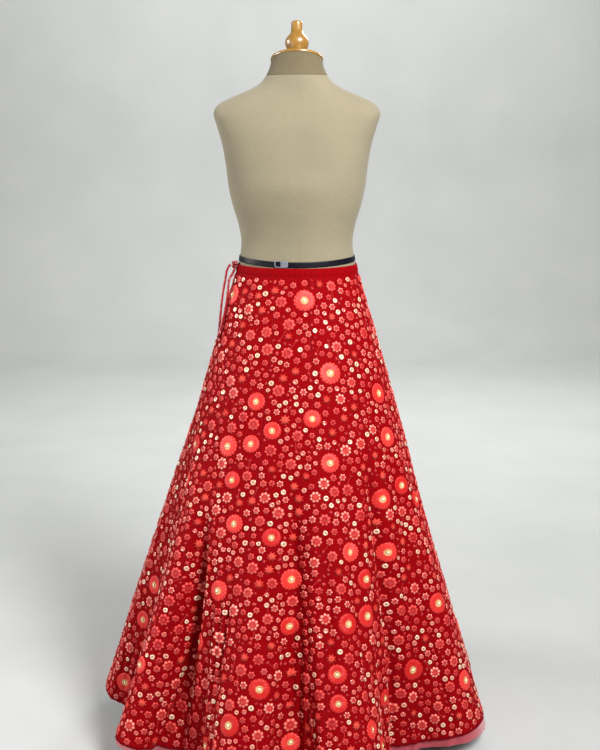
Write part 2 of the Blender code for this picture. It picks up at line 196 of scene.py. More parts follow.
# faceSets holds arrays with one row of point numbers for a face; uv and tone are for each point
def makePiece(name, points, faceSets, materials, uv=None, uvName="cloth", tone=None, slots=None, sharp=None):
    mesh = bpy.data.meshes.new(name)
    loops = np.concatenate([faces.ravel() for faces in faceSets]).astype(np.int32)
    sizes = np.concatenate([np.full(len(faces), faces.shape[1]) for faces in faceSets])
    starts = np.concatenate(([0], np.cumsum(sizes)[:-1])).astype(np.int32)
    mesh.vertices.add(len(points))
    mesh.vertices.foreach_set("co", np.asarray(points, dtype=np.float32).ravel())
    mesh.loops.add(len(loops))
    mesh.loops.foreach_set("vertex_index", loops)
    mesh.polygons.add(len(sizes))
    mesh.polygons.foreach_set("loop_start", starts)
    if slots is not None:
        places = [np.full(len(faces), slot) for faces, slot in zip(faceSets, slots)]
        mesh.polygons.foreach_set("material_index", np.concatenate(places).astype(np.int32))
    mesh.update(calc_edges=True)
    if uv is not None:
        layer = mesh.uv_layers.new(name=uvName)
        layer.data.foreach_set("uv", np.asarray(uv, dtype=np.float32)[loops].ravel())
    if tone is not None:
        attribute = mesh.attributes.new("tone", "FLOAT", "POINT")
        attribute.data.foreach_set("value", np.asarray(tone, dtype=np.float32))
    mesh.shade_smooth()
    if sharp is not None:
        mesh.set_sharp_from_angle(angle=radians(sharp))
    for material in materials:
        mesh.materials.append(material)
    piece = bpy.data.objects.new(name, mesh)
    bpy.context.scene.collection.objects.link(piece)
    return piece


# Hands a finished piece to its body, and hides the solids it stands for
def settle(piece, nodes=()):
    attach(piece, oneBody)
    if nodes:
        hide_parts(*nodes)
    return piece


# The drawstring: a satin cord that leaves the casing at the side opening and hangs free

cordSet = {
    "radius": 0.0027,
    "sides": 16,
    "rings": 110,
    "endKnot": 1.5,  # radius of the knot at the end, in cord radii
    "knotCentre": (-0.1389, -0.0200, 1.0962),
    "knotHalf": (0.0066, 0.0080, 0.0098),
    "knotStrand": 0.0024,
    "knotRings": 96,
    "knotSides": 12,
    "outerLength": 0.171,
    "innerLength": 0.155,
}

outerRoute = (
    (-0.1470, -0.0201, 1.0956),
    (-0.1494, -0.0203, 1.0942),
    (-0.1532, -0.0207, 1.0895),
    (-0.1572, -0.0213, 1.0805),
    (-0.1600, -0.0225, 1.0640),
    (-0.1635, -0.0250, 1.0464),
    (-0.1670, -0.0300, 1.0237),
    (-0.1708, -0.0360, 0.9894),
    (-0.1742, -0.0420, 0.9549),
    (-0.1762, -0.0450, 0.9319),
)

innerRoute = (
    (-0.1397, -0.0203, 1.0863),
    (-0.1399, -0.0205, 1.0838),
    (-0.1440, -0.0225, 1.0750),
    (-0.1520, -0.0290, 1.0600),
    (-0.1540, -0.0345, 1.0400),
    (-0.1570, -0.0390, 1.0150),
    (-0.1632, -0.0440, 0.9849),
    (-0.1705, -0.0500, 0.9549),
    (-0.1738, -0.0525, 0.9400),
)


# A Catmull-Rom curve through the given points, read again at even distances
def smoothRoute(route, count):
    knots = np.array(route)
    ends = np.concatenate(([2 * knots[0] - knots[1]], knots, [2 * knots[-1] - knots[-2]]))
    t = np.linspace(0, 1, 24, endpoint=False)[:, None]
    spans = [
        0.5 * (2 * b + (c - a) * t + (2 * a - 5 * b + 4 * c - d) * t**2 + (3 * b - a - 3 * c + d) * t**3)
        for a, b, c, d in zip(ends[:-3], ends[1:-2], ends[2:-1], ends[3:])
    ]
    curve = np.concatenate(spans + [knots[-1:]])
    along = np.concatenate(([0], np.cumsum(np.linalg.norm(np.diff(curve, axis=0), axis=1))))
    target = np.linspace(0, along[-1], count)
    return np.stack([np.interp(target, along, curve[:, axis]) for axis in range(3)], axis=1)


# point = path + radius * (cos(angle) * side + sin(angle) * across), the two being square to the path
def tubePoints(path, radii, sides, closed=False):
    ahead = np.roll(path, -1, axis=0) - np.roll(path, 1, axis=0) if closed else np.gradient(path, axis=0)
    ahead /= np.linalg.norm(ahead, axis=1, keepdims=True)
    side = np.cross(ahead, (0.31, 0.95, 0.04))
    side /= np.linalg.norm(side, axis=1, keepdims=True)
    across = np.cross(ahead, side)
    angle = np.linspace(0, 2 * pi, sides, endpoint=False)[None, :, None]
    reach = np.asarray(radii)[:, None, None]
    return path[:, None] + reach * (np.cos(angle) * side[:, None] + np.sin(angle) * across[:, None])


# Along the cord the radius swells for the end knot: 1 + (knot - 1) * exp(-(distance / 3.4 mm) ^ 2)
def makeCord(name, route, look, material):
    path = smoothRoute(route, look["rings"])
    along = np.concatenate(([0], np.cumsum(np.linalg.norm(np.diff(path, axis=0), axis=1))))
    fromKnot = (along[-1] - 5 * mm - along) / (3.4 * mm)
    radii = look["radius"] * (1 + (look["endKnot"] - 1) * np.exp(-fromKnot**2))
    radii *= 1 + 0.035 * np.sin(along / (2.1 * mm))  # the pull of its slanting seam
    radii[[0, -1]] *= 0.72
    rings = tubePoints(path, radii, look["sides"])
    rows, sides = rings.shape[:2]
    uv = np.stack(np.meshgrid(np.arange(sides) / sides, along / (2 * pi * look["radius"])), axis=-1)
    cap = np.arange(sides)[None]
    faces = [gridQuads(rows, sides, True), cap[:, ::-1], cap + (rows - 1) * sides]
    return makePiece(name, rings.reshape(-1, 3), faces, [material], uv.reshape(-1, 2)), path


# A knot as a strand that runs along a trefoil: (sin t + 2 sin 2t, cos t - 2 cos 2t, -sin 3t)
def makeKnot(look, material):
    count, sides = look["knotRings"], look["knotSides"]
    t = np.linspace(0, 2 * pi, count, endpoint=False)
    half = np.array(look["knotHalf"]) - look["knotStrand"]
    across, up = (np.sin(t) + 2 * np.sin(2 * t)) / 2.6, (np.cos(t) - 2 * np.cos(2 * t)) / 3
    trefoil = np.stack((-np.sin(3 * t), across, up), axis=1)
    path = np.array(look["knotCentre"]) + trefoil * half
    rings = tubePoints(path, np.full(count, look["knotStrand"]), sides, True)
    uv = np.stack(np.meshgrid(np.arange(sides) / sides, np.arange(count) / sides), axis=-1).reshape(-1, 2)
    return makePiece("drawstringKnot", rings.reshape(-1, 3), [closedTubeQuads(count, sides)], [material], uv)


# Satin, a bias strip sewn into a round cord: smooth, with a soft streak of light along it
def satinCordMaterial():
    values = {"Sheen Weight": 0.08, "Coat Weight": 0.35, "Coat Roughness": 0.22}
    made, tree, shader = newMaterial("rouleauSatin", values)
    shader.inputs["Sheen Tint"].default_value = hexColour("#FF6A70")
    vector = readUv(tree, "cloth")
    twill = noise(tree, stretched(tree, vector, (9, 0.9, 1), 0.6), 3.0)
    colour = mixColours(tree, twill, hexColour("#66020C"), hexColour("#980614"))
    connect(tree, shader, {
        "Base Color": colour,
        "Roughness": smoothStep(tree, twill, -0.4, 2.0),
        "Normal": bump(tree, twill, 0.25 * mm),
    })
    return made


def addDrawstring(look):
    satin = satinCordMaterial()
    knot = settle(makeKnot(look, satin), ["drawstring_knot"])
    outer, outerPath = makeCord("drawstringOuter", outerRoute, look, satin)
    inner, innerPath = makeCord("drawstringInner", innerRoute, look, satin)
    settle(outer, ["drawstring_outer"])
    settle(inner, ["drawstring_inner"])


addDrawstring(cordSet)
print("drawstring made")


# Shape of the form that carries the skirt: height, half width, half depth, offset in Y, squareness

formSections = np.array((
    (0.800, 0.148, 0.108, 0.000, 2.2),
    (0.812, 0.153, 0.114, 0.000, 2.2),
    (0.880, 0.162, 0.120, -0.002, 2.1),
    (0.960, 0.156, 0.114, -0.002, 2.0),
    (1.030, 0.144, 0.109, 0.000, 2.0),
    (1.0757, 0.1345, 0.1045, 0.000, 2.0),
    (1.0963, 0.1305, 0.1015, 0.000, 2.0),
    (1.120, 0.1265, 0.0990, 0.000, 2.0),
    (1.145, 0.1245, 0.0985, 0.001, 2.0),
    (1.185, 0.131, 0.103, 0.004, 2.1),
    (1.225, 0.143, 0.112, 0.008, 2.2),
    (1.265, 0.152, 0.121, 0.012, 2.2),
    (1.310, 0.157, 0.112, 0.009, 2.3),
    (1.360, 0.165, 0.098, 0.003, 2.4),
    (1.400, 0.176, 0.086, 0.000, 2.5),
    (1.428, 0.182, 0.076, 0.000, 2.5),
    (1.446, 0.170, 0.069, 0.000, 2.3),
    (1.462, 0.138, 0.064, 0.000, 2.1),
    (1.476, 0.104, 0.061, 0.000, 2.0),
    (1.490, 0.080, 0.060, 0.000, 2.0),
    (1.507, 0.0665, 0.0590, 0.000, 2.0),
))


def formHalfSizes(z):
    heights, halfWidths, halfDepths = formSections.T[:3]
    return np.interp(z, heights, halfWidths), np.interp(z, heights, halfDepths)


# Skirt

skirt = {
    "kalis": 12,
    "wall": 0.0016,
    "seamGap": 0.0003,
    "formGap": 0.0005,
    "solidWall": 0.0024,  # the solid cloth's, whose outer face this one follows
    "length": 1.068,
    "bandTopZ": 1.096,
    "bandHeight": 0.020,
    "hemRadius": 0.415,
    "sideBulge": 0.009,
    "foldPower": 1.3,
    "flankSteepness": 0.55,
    "openingAzimuth": -80.0,
    "leastFall": 0.3,
    "rows": 112,
    "kaliColumns": 64,
    "planSteps": 48,
}

# Folds at the hem: crest azimuth and radius, valley azimuth and radius, where it starts
folds = (
    (-97, 0.470, -72, 0.380, 0.28),
    (-55, 0.478, -44, 0.350, 0.33),
    (-14, 0.460, -2, 0.400, 0.50),
    (13, 0.462, 43, 0.326, 0.40),
    (71, 0.452, 93, 0.384, 0.38),
    (112, 0.464, 131, 0.355, 0.36),
    (150, 0.470, 168, 0.366, 0.44),
    (187, 0.456, 205, 0.350, 0.38),
    (223, 0.478, 241, 0.362, 0.36),
)


def bandHalfSizes(z):
    width, depth = formHalfSizes(z)
    out = skirt["formGap"] + skirt["solidWall"]
    return width + out, depth + out


# The plan at one level: an ellipse that widens to the hem's circle, plus each fold's crest and
# valley, joined by cosine eases: radius = ellipse(azimuth) + (turn - hemRadius) * grown
def planCurve(down):
    turns = np.array([(a, b, e) for a, b, c, d, e in folds for a, b in ((a, b), (c, d))])
    turns = np.concatenate((turns, turns[:1] + (360, 0, 0)))
    before, after = turns[:-1, None], turns[1:, None]
    step = np.linspace(0, 1, skirt["planSteps"], endpoint=False)
    ease = (1 - np.cos(pi * step)) / 2
    begin = before[..., 2] + (after[..., 2] - before[..., 2]) * ease
    grown = np.clip((down - begin) / (1 - begin), 0, 1) ** skirt["foldPower"]
    steep = skirt["flankSteepness"] * grown * np.sin(2 * pi * step) / (2 * pi)
    azimuth = (before[..., 0] + (after[..., 0] - before[..., 0]) * (step + steep)).ravel()
    turned = before[..., 1] + (after[..., 1] - before[..., 1]) * ease
    fold = ((turned - skirt["hemRadius"]) * grown).ravel()
    bulge = skirt["sideBulge"] * sin(pi * down)
    top = bandHalfSizes(skirt["bandTopZ"] - skirt["bandHeight"])
    width, depth = (size + (skirt["hemRadius"] - size) * down + bulge for size in top)
    across, along = np.sin(np.radians(azimuth)), np.cos(np.radians(azimuth))
    reach = 1 / np.sqrt((across / width) ** 2 + (along / depth) ** 2) + fold
    return azimuth, reach * across, -reach * along


# The plain cloth: columns at even shares of each level's way round; each falls so that the
# cloth keeps its length: fall = sqrt(step ^ 2 - travel ^ 2)
def plainCloth(rows, columns):
    x, y, perimeter = np.empty((rows, columns)), np.empty((rows, columns)), np.empty(rows)
    share = np.arange(columns) / columns
    for row, down in enumerate(np.linspace(0, 1, rows)):
        azimuth, planX, planY = planCurve(down)
        azimuth = np.append(azimuth, azimuth[0] + 360)
        planX, planY = np.append(planX, planX[0]), np.append(planY, planY[0])
        along = np.concatenate(([0], np.cumsum(np.hypot(np.diff(planX), np.diff(planY)))))
        opening = np.interp(skirt["openingAzimuth"], azimuth, along)
        target = (opening + share * along[-1]) % along[-1]
        x[row], y[row] = np.interp(target, along, planX), np.interp(target, along, planY)
        perimeter[row] = along[-1]
    step = skirt["length"] / (rows - 1)
    travel = np.hypot(np.diff(x, axis=0), np.diff(y, axis=0))
    fall = np.sqrt(np.maximum(step**2 - travel**2, (skirt["leastFall"] * step) ** 2))
    drop = np.concatenate((np.zeros((1, columns)), np.cumsum(fall, axis=0)))
    z = skirt["bandTopZ"] - skirt["bandHeight"] - skirt["seamGap"] - drop
    return np.stack((x, y, z), axis=2), perimeter


# Unit normals of a grid that is closed round: across the columns times down the rows
def gridNormals(points):
    across = np.roll(points, -1, axis=1) - np.roll(points, 1, axis=1)
    normals = np.cross(np.gradient(points, axis=0), across)
    return normals / np.linalg.norm(normals, axis=2, keepdims=True)


# Creases: share where each starts and ends, how far its middle bows aside in share,
# down from and to, width and height in mm. A height above 0 is a ridge, one below 0 a trough.
creases = (
    (0.024, 0.016, 0.002, 0.34, 1.00, 12, -8.0),
    (0.047, 0.038, 0.003, 0.30, 0.92, 16, 3.6),
    (0.066, 0.080, 0.016, 0.40, 1.00, 12, 7.0),
    (0.100, 0.094, 0.013, 0.48, 1.00, 13, -19.5),
    (0.100, 0.117, 0.014, 0.34, 1.00, 26, 12.0),
    (0.126, 0.143, 0.004, 0.44, 1.00, 10, 6.0),
    (0.154, 0.159, -0.002, 0.52, 1.00, 9, -6.0),
    (0.176, 0.185, 0.001, 0.28, 0.94, 22, 4.0),
    (0.203, 0.202, 0.002, 0.40, 1.00, 11, 5.0),
    (0.214, 0.226, 0.002, 0.38, 1.00, 19, -20.0),
    (0.242, 0.248, 0.000, 0.26, 1.00, 12, 8.0),
    (0.254, 0.258, 0.001, 0.46, 0.96, 8, -3.8),
    (0.266, 0.272, -0.002, 0.34, 0.95, 18, 3.8),
    (0.284, 0.291, 0.001, 0.38, 1.00, 10, -5.4),
    (0.303, 0.305, 0.002, 0.24, 1.00, 12, 4.8),
    (0.328, 0.338, 0.002, 0.32, 1.00, 15, -18.0),
    (0.350, 0.354, -0.001, 0.42, 1.00, 10, 5.0),
    (0.372, 0.380, 0.001, 0.36, 1.00, 11, -5.0),
    (0.393, 0.401, 0.000, 0.22, 0.93, 17, 4.0),
    (0.430, 0.437, -0.002, 0.30, 1.00, 11, -6.2),
    (0.449, 0.450, 0.002, 0.48, 0.97, 12, 4.2),
    (0.481, 0.466, 0.003, 0.34, 1.00, 15, -17.0),
    (0.499, 0.489, 0.001, 0.46, 1.00, 9, 5.0),
    (0.521, 0.514, -0.001, 0.26, 0.94, 19, 3.8),
    (0.547, 0.540, 0.002, 0.42, 1.00, 9, -4.6),
    (0.586, 0.569, 0.004, 0.30, 1.00, 14, -19.0),
    (0.603, 0.592, 0.001, 0.50, 1.00, 9, 5.6),
    (0.626, 0.621, 0.000, 0.24, 0.96, 20, 4.2),
    (0.648, 0.645, 0.002, 0.44, 1.00, 10, -4.8),
    (0.688, 0.677, 0.002, 0.40, 1.00, 16, -15.0),
    (0.700, 0.696, -0.002, 0.54, 1.00, 9, 4.4),
    (0.716, 0.712, 0.001, 0.30, 0.92, 14, 4.0),
    (0.741, 0.735, 0.002, 0.38, 1.00, 10, -5.2),
    (0.758, 0.761, 0.000, 0.46, 1.00, 9, 5.4),
    (0.787, 0.779, 0.003, 0.32, 1.00, 15, -18.0),
    (0.811, 0.808, 0.001, 0.24, 0.97, 17, 3.8),
    (0.832, 0.836, -0.001, 0.44, 1.00, 9, -4.2),
    (0.856, 0.860, 0.002, 0.36, 0.95, 14, 4.4),
    (0.873, 0.876, 0.001, 0.52, 1.00, 9, 5.0),
    (0.884, 0.893, 0.002, 0.32, 1.00, 14, -16.0),
    (0.922, 0.926, 0.002, 0.36, 1.00, 10, -5.0),
    (0.948, 0.951, 0.000, 0.26, 0.94, 18, 3.8),
    (0.975, 0.980, -0.002, 0.42, 1.00, 10, 4.4),
)

# Stretches where the cloth is crushed into small upright ridges: share of the middle, spread in
# share, down from, distance from ridge to ridge and height in mm
crinkles = (
    (0.146, 0.014, 0.56, 19, 2.8),
    (0.222, 0.017, 0.62, 18, 2.8),
    (0.062, 0.010, 0.74, 20, 1.4),
    (0.336, 0.014, 0.66, 19, 2.2),
    (0.457, 0.015, 0.62, 18, 2.0),
    (0.574, 0.013, 0.70, 19, 2.3),
    (0.668, 0.012, 0.72, 21, 1.6),
    (0.770, 0.016, 0.60, 18, 2.2),
    (0.889, 0.014, 0.66, 20, 2.0),
    (0.990, 0.009, 0.70, 19, 1.5),
)


def softWindow(value, low, high, ease):
    rise = np.clip((value - low) / ease, 0, 1)
    fade = np.clip((high - value) / ease, 0, 1) if high < 1 else 1.0
    return (rise * rise * (3 - 2 * rise)) * (fade * fade * (3 - 2 * fade))


# Sum of the creases, height * exp(-(distance / width) ^ 2), and of the crinkles,
# height * sin(distance) * exp(-(distance / spread) ^ 2), with puckers under the band that
# die away as exp(-down / 0.05), a dip along each seam, and a fuller turned hem
def clothRelief(share, down, perimeter):
    relief = np.zeros(share.shape)
    for number, (begin, end, bow, start, stop, width, height) in enumerate(creases):
        run = np.clip((down - start) / (stop - start), 0, 1)
        centre = begin + (end - begin) * run + bow * np.sin(pi * run) + 0.0012 * np.sin(9 * down + 1.7 * number)
        distance = ((share - centre + 0.5) % 1 - 0.5) * perimeter
        relief += height * mm * np.exp(-((distance / (width * mm)) ** 2)) * softWindow(down, start, stop, 0.20)
    for number, (centre, spread, start, apart, height) in enumerate(crinkles):
        away = (share - centre - 0.0016 * np.sin(8 * down + number) + 0.5) % 1 - 0.5
        wave = np.sin(2 * pi * away * perimeter / (apart * mm) + 1.2 * np.sin(7 * down + number))
        relief += height * mm * wave * np.exp(-((away / spread) ** 2)) * softWindow(down, start, 1.0, 0.18)
    around = share * perimeter[:1]
    pucker = np.sin(2 * pi * around / 0.0161 + 1.3 * np.sin(share * 37)) + 0.6 * np.sin(2 * pi * around / 0.0265 + 2)
    relief += 0.9 * mm * pucker * np.exp(-down / 0.05) * np.clip(down / 0.004, 0, 1)
    toSeam = np.abs((share * skirt["kalis"] + 0.5) % 1 - 0.5) / skirt["kalis"] * perimeter
    relief -= 1.0 * mm * np.exp(-((toSeam / (4 * mm)) ** 2)) * softWindow(down, 0.0, 1.0, 0.02)
    toHem = (1 - down) * skirt["length"]
    relief += 0.5 * mm / (1 + np.exp((toHem - 14 * mm) / (2 * mm)))
    return relief


def makeCloth():
    rows, columns = skirt["rows"] + 1, skirt["kalis"] * skirt["kaliColumns"]
    plain, perimeter = plainCloth(rows, columns)
    share, down = np.meshgrid(np.arange(columns) / columns, np.linspace(0, 1, rows))
    relief = clothRelief(share, down, perimeter[:, None])
    points = plain + gridNormals(plain) * relief[..., None]
    return {"points": points, "normals": gridNormals(points), "perimeter": perimeter}


# Place and normal on the finished cloth at any share and down, read between its grid's points
def onCloth(cloth, share, down, lift):
    rows, columns = cloth["points"].shape[:2]
    row, column = np.clip(down, 0, 1) * (rows - 1), (share % 1) * columns
    top, left = np.minimum(row.astype(int), rows - 2), column.astype(int) % columns
    v, u, right = (row - top)[..., None], (column - column.astype(int))[..., None], (left + 1) % columns
    found = []
    for field in (cloth["points"], cloth["normals"]):
        upper = field[top, left] * (1 - u) + field[top, right] * u
        lower = field[top + 1, left] * (1 - u) + field[top + 1, right] * u
        found.append(upper * (1 - v) + lower * v)
    return found[0] + found[1] * np.asarray(lift)[..., None]


cloth = makeCloth()
print("cloth worked out", cloth["points"].shape)


# Art silk crepe, woven and piece dyed: a deep red with a soft pink sheen at a low angle.
# The threads are 0.3 mm apart in the cloth and drawn 1.2 mm apart, so that they show at all.
def groundMaterial():
    made, tree, shader = newMaterial("artSilkCrepe", {"Sheen Weight": 0.10, "Sheen Roughness": 0.45})
    shader.inputs["Sheen Tint"].default_value = hexColour("#FF2A38")
    shader.inputs["Specular IOR Level"].default_value = 0.04
    vector = readUv(tree, "cloth")
    slub = noise(tree, stretched(tree, vector, (260, 30, 1)), 1.0, 3.0)
    patch = noise(tree, vector, 14.0, 2.0)
    red = mixColours(tree, slub, hexColour("#6C0005"), hexColour("#8C0007"))
    red = mixColours(tree, smoothStep(tree, patch, 0.35, 0.7), red, hexColour("#7E0006"))
    upright = addNode(tree, "ShaderNodeSeparateXYZ", None, {"Vector": vector}).outputs["Y"]
    edge = smoothStep(tree, upright, skirt["length"] - 6 * mm, skirt["length"] - 4 * mm)
    red = mixColours(tree, edge, red, hexColour("#680008"))
    warp = addNode(tree, "ShaderNodeTexWave", {"bands_direction": "X"}, {"Vector": vector, "Scale": 260.0})
    weft = addNode(tree, "ShaderNodeTexWave", {"bands_direction": "Y"}, {"Vector": vector, "Scale": 260.0})
    weave = calculate(tree, "MULTIPLY", warp.outputs["Fac"], weft.outputs["Fac"])
    height = calculate(tree, "ADD", weave, slub)
    connect(tree, shader, {
        "Base Color": red,
        "Roughness": smoothStep(tree, slub, -0.9, 1.1),
        "Normal": bump(tree, height, 0.12 * mm),
    })
    return made


# Cotton lining, plain woven and matt, seen only from below and at the hem
def liningMaterial():
    made, tree, shader = newMaterial("cottonLining", {"Roughness": 0.9})
    thread = noise(tree, stretched(tree, readUv(tree, "cloth"), (900, 900, 1)), 1.0)
    colour = mixColours(tree, thread, hexColour("#5E0008"), hexColour("#7C0410"))
    connect(tree, shader, {"Base Color": colour, "Normal": bump(tree, thread, 0.1 * mm)})
    return made


ground = groundMaterial()
lining = liningMaterial()


# Twelve kalis, each the cloth between two seams, parted from the next by the seam's gap
def addKalis():
    columns = skirt["kaliColumns"]
    rows = skirt["rows"] + 1
    faces = wallFaces(rows, columns + 1)
    slots = [0] * (len(faces) - 1) + [1]
    flatDown = np.linspace(0, skirt["length"], rows)[:, None] + np.zeros((1, columns + 1))
    for number in range(skirt["kalis"]):
        take = (np.arange(columns + 1) + number * columns) % (skirt["kalis"] * columns)
        outer, normals = cloth["points"][:, take].copy(), cloth["normals"][:, take]
        for edge, inward in ((0, 1), (-1, -2)):
            toward = outer[:, inward] - outer[:, edge]
            outer[:, edge] += toward / np.linalg.norm(toward, axis=1, keepdims=True) * skirt["seamGap"] / 2
        inner = outer - normals * skirt["wall"]
        across = (number + np.linspace(0, 1, columns + 1)) / skirt["kalis"]
        uv = np.stack((across[None] * cloth["perimeter"][:, None], flatDown), axis=2).reshape(-1, 2)
        points = np.concatenate((outer.reshape(-1, 3), inner.reshape(-1, 3)))
        name = f"kali{number + 1:02d}"
        kali = makePiece(name, points, faces, [ground, lining], np.concatenate((uv, uv)), slots=slots, sharp=60)
        settle(kali, [f"kali_{number + 1:02d}"])


addKalis()
print("kalis made")


# Waistband, a drawstring casing: the form's own section moved out, drawn up by the cord

bandSet = {"around": 420, "high": 12, "opening": 0.010, "ripple": 0.7}


# out = casing swell sin(pi * t) + ripples that the drawn cord leaves, none at the ends
def addWaistband(look):
    count, rows = look["around"] + 1, look["high"] + 1
    gap = look["opening"] / cloth["perimeter"][0]
    part = np.linspace(gap / 2, 1 - gap / 2, count)[None]
    t = np.linspace(0, 1, rows)[:, None]
    z = skirt["bandTopZ"] - skirt["bandHeight"] * t + 0 * part
    azimuth = radians(skirt["openingAzimuth"]) + 2 * pi * part + 0 * t
    swell = 0.7 * mm * np.sin(pi * t) ** 0.6
    around = part * cloth["perimeter"][0]
    ripple = np.sin(2 * pi * around / 0.0118 + 1.1 * np.sin(part * 53)) * np.sin(pi * t)
    out = swell + look["ripple"] * mm * ripple - 0.9 * mm * np.exp(-(((t - 0.82) / 0.06) ** 2))
    sides = []
    for extra in (out, -skirt["solidWall"] + 0.5 * mm + 0 * out):
        width, depth = bandHalfSizes(z)
        place = ((width + extra) * np.sin(azimuth), -(depth + extra) * np.cos(azimuth), z)
        sides.append(np.stack(place, axis=2).reshape(-1, 3))
    uv = np.stack((around + 0 * t, t * skirt["bandHeight"] + 0 * part), axis=2).reshape(-1, 2)
    faces = wallFaces(rows, count)
    band = makePiece("drawstringCasing", np.concatenate(sides), faces, [ground], np.concatenate((uv, uv)), sharp=60)
    settle(band, ["waistband"])


addWaistband(bandSet)
print("waistband made")


# Net flounce, inside the hem and a little below it

netSet = {"wall": 0.0005, "rise": 0.080, "drop": 0.022, "wave": 0.006, "waves": 5, "rows": 6,
          "hidden": 0.88, "hiddenShare": 0.010, "hiddenSpread": 0.115}  # where the net hardly shows


# Nylon net, knitted as hexagons and dyed: sheer, with threads that catch the light.
# The real holes are 1 mm wide and drawn 2.2 mm wide, so that they show at all.
def netMaterial():
    made, tree, shader = newMaterial("nylonNet", {"Roughness": 0.45, "Sheen Weight": 0.3})
    vector = readUv(tree, "cloth")
    bars = []
    for turn in (0.0, pi / 3, -pi / 3):
        waveInputs = {"Vector": stretched(tree, vector, (1, 1, 1), turn), "Scale": 140.0}
        wave = addNode(tree, "ShaderNodeTexWave", None, waveInputs)
        bars.append(wave.outputs["Fac"])
    mesh = calculate(tree, "MAXIMUM", calculate(tree, "MAXIMUM", bars[0], bars[1]), bars[2])
    thread = smoothStep(tree, mesh, 0.55, 0.98)
    colour = mixColours(tree, thread, hexColour("#A42C3A"), hexColour("#CC5460"))
    alpha = calculate(tree, "MULTIPLY_ADD", thread, 0.35, 0.24)
    connect(tree, shader, {"Base Color": colour, "Alpha": alpha})
    return made


def addNetFlounce(look):
    rows = cloth["points"].shape[0]
    take = np.linspace(rows - 1 - look["rise"] / skirt["length"] * (rows - 1), rows - 1, look["rows"]).astype(int)
    columns = cloth["points"].shape[1]
    share = np.arange(columns) / columns
    around = share * cloth["perimeter"][-1]
    frill = 0.8 * mm * np.sin(2 * pi * around / 0.023 + 2 * np.sin(share * 41))
    inset = skirt["solidWall"] + skirt["seamGap"]
    outer = cloth["points"][take] - cloth["normals"][take] * inset
    drop = look["drop"] + look["wave"] * np.sin(2 * pi * look["waves"] * share)
    fromHidden = ((share - look["hiddenShare"] + 0.5) % 1 - 0.5) / look["hiddenSpread"]
    drop *= 1 - look["hidden"] * np.exp(-(fromHidden**2))
    slope = cloth["points"][-1] - cloth["points"][-3]
    slope /= np.linalg.norm(slope, axis=1, keepdims=True)
    below = []
    for part in (0.25, 0.5, 0.75, 1.0):
        below.append(outer[-1] + slope * (drop * part)[:, None] + cloth["normals"][-1] * (frill * part)[:, None])
    outer = np.concatenate((outer, np.array(below)))
    normals = gridNormals(outer)
    inner = outer - normals * look["wall"]
    behindHem = take / (rows - 1) * skirt["length"]
    pastHem = skirt["length"] + look["drop"] * np.array((0.25, 0.5, 0.75, 1))
    flatDown = np.concatenate((behindHem, pastHem))
    uv = np.stack(np.meshgrid(around, flatDown), axis=-1).reshape(-1, 2)
    points = np.concatenate((outer.reshape(-1, 3), inner.reshape(-1, 3)))
    faces = wallFaces(len(outer), columns, True)
    net = makePiece("netFlounce", points, faces, [netMaterial()], np.concatenate((uv, uv)))
    settle(net, ["net_flounce"])


addNetFlounce(netSet)
print("net made")


# Motifs. Each kind is one small relief, laid on the cloth many times and turned at random.

# radius in mm, how many, petals, notch as a share of the radius, points round,
# rings as (share of the radius, height in mm), shares of the radius of the rings below,
# and how far it keeps off the seams in radii
motifKinds = {
    "rosette": {"radius": (20, 25.5), "count": 98, "petals": 16, "notch": 0.06, "around": 48, "clear": 0.3,
                "groove": 0.5, "spiral": 0.55, "under": (0.66, 0.33),
                "rings": ((0.10, 1.2), (0.24, 2.6), (0.42, 1.7), (0.68, 2.6), (0.92, 1.9), (1.0, 0.1))},
    "flower": {"radius": (12, 14.5), "count": 470, "petals": 8, "notch": 0.14, "around": 16, "clear": 0.35,
               "rings": ((0.3, 0.9), (0.76, 1.9), (1.0, 0.1)), "under": (0.5,)},
    "star": {"radius": (10, 12.5), "count": 240, "petals": 8, "notch": 0.36, "around": 16, "clear": 0.4,
             "rings": ((0.3, 1.6), (1.0, 0.2)), "under": (0.5,)},
    "blossom": {"radius": (7, 9), "count": 1800, "petals": 6, "notch": 0.24, "around": 12, "clear": 0.5,
                "rings": ((0.3, 0.8), (0.72, 1.5), (1.0, 0.1)), "under": ()},
    "button": {"radius": (5.4, 7.0), "count": 1500, "petals": 0, "notch": 0.0, "around": 9, "clear": 0.6,
               "rings": ((0.26, 0.5), (0.6, 2.1), (0.86, 1.7), (1.0, 0.1)), "under": ()},
    "bud": {"radius": (3.4, 5.2), "count": 1500, "petals": 2, "notch": 0.34, "around": 8, "clear": 0.6,
            "rings": ((0.5, 1.0), (1.0, 0.1)), "under": ()},
}
pearlShare = 0.15  # of a rosette's radius
pearlShape = {"petals": 0, "notch": 0.0, "around": 14, "under": (),
              "rings": ((0.35, 3.0), (0.66, 2.5), (0.88, 1.6), (1.0, 0.3))}

layoutSet = {"seed": 29, "gap": 1.3 * mm, "topClear": 1 * mm, "hemClear": 3 * mm, "stem": (0.010, 0.022)}


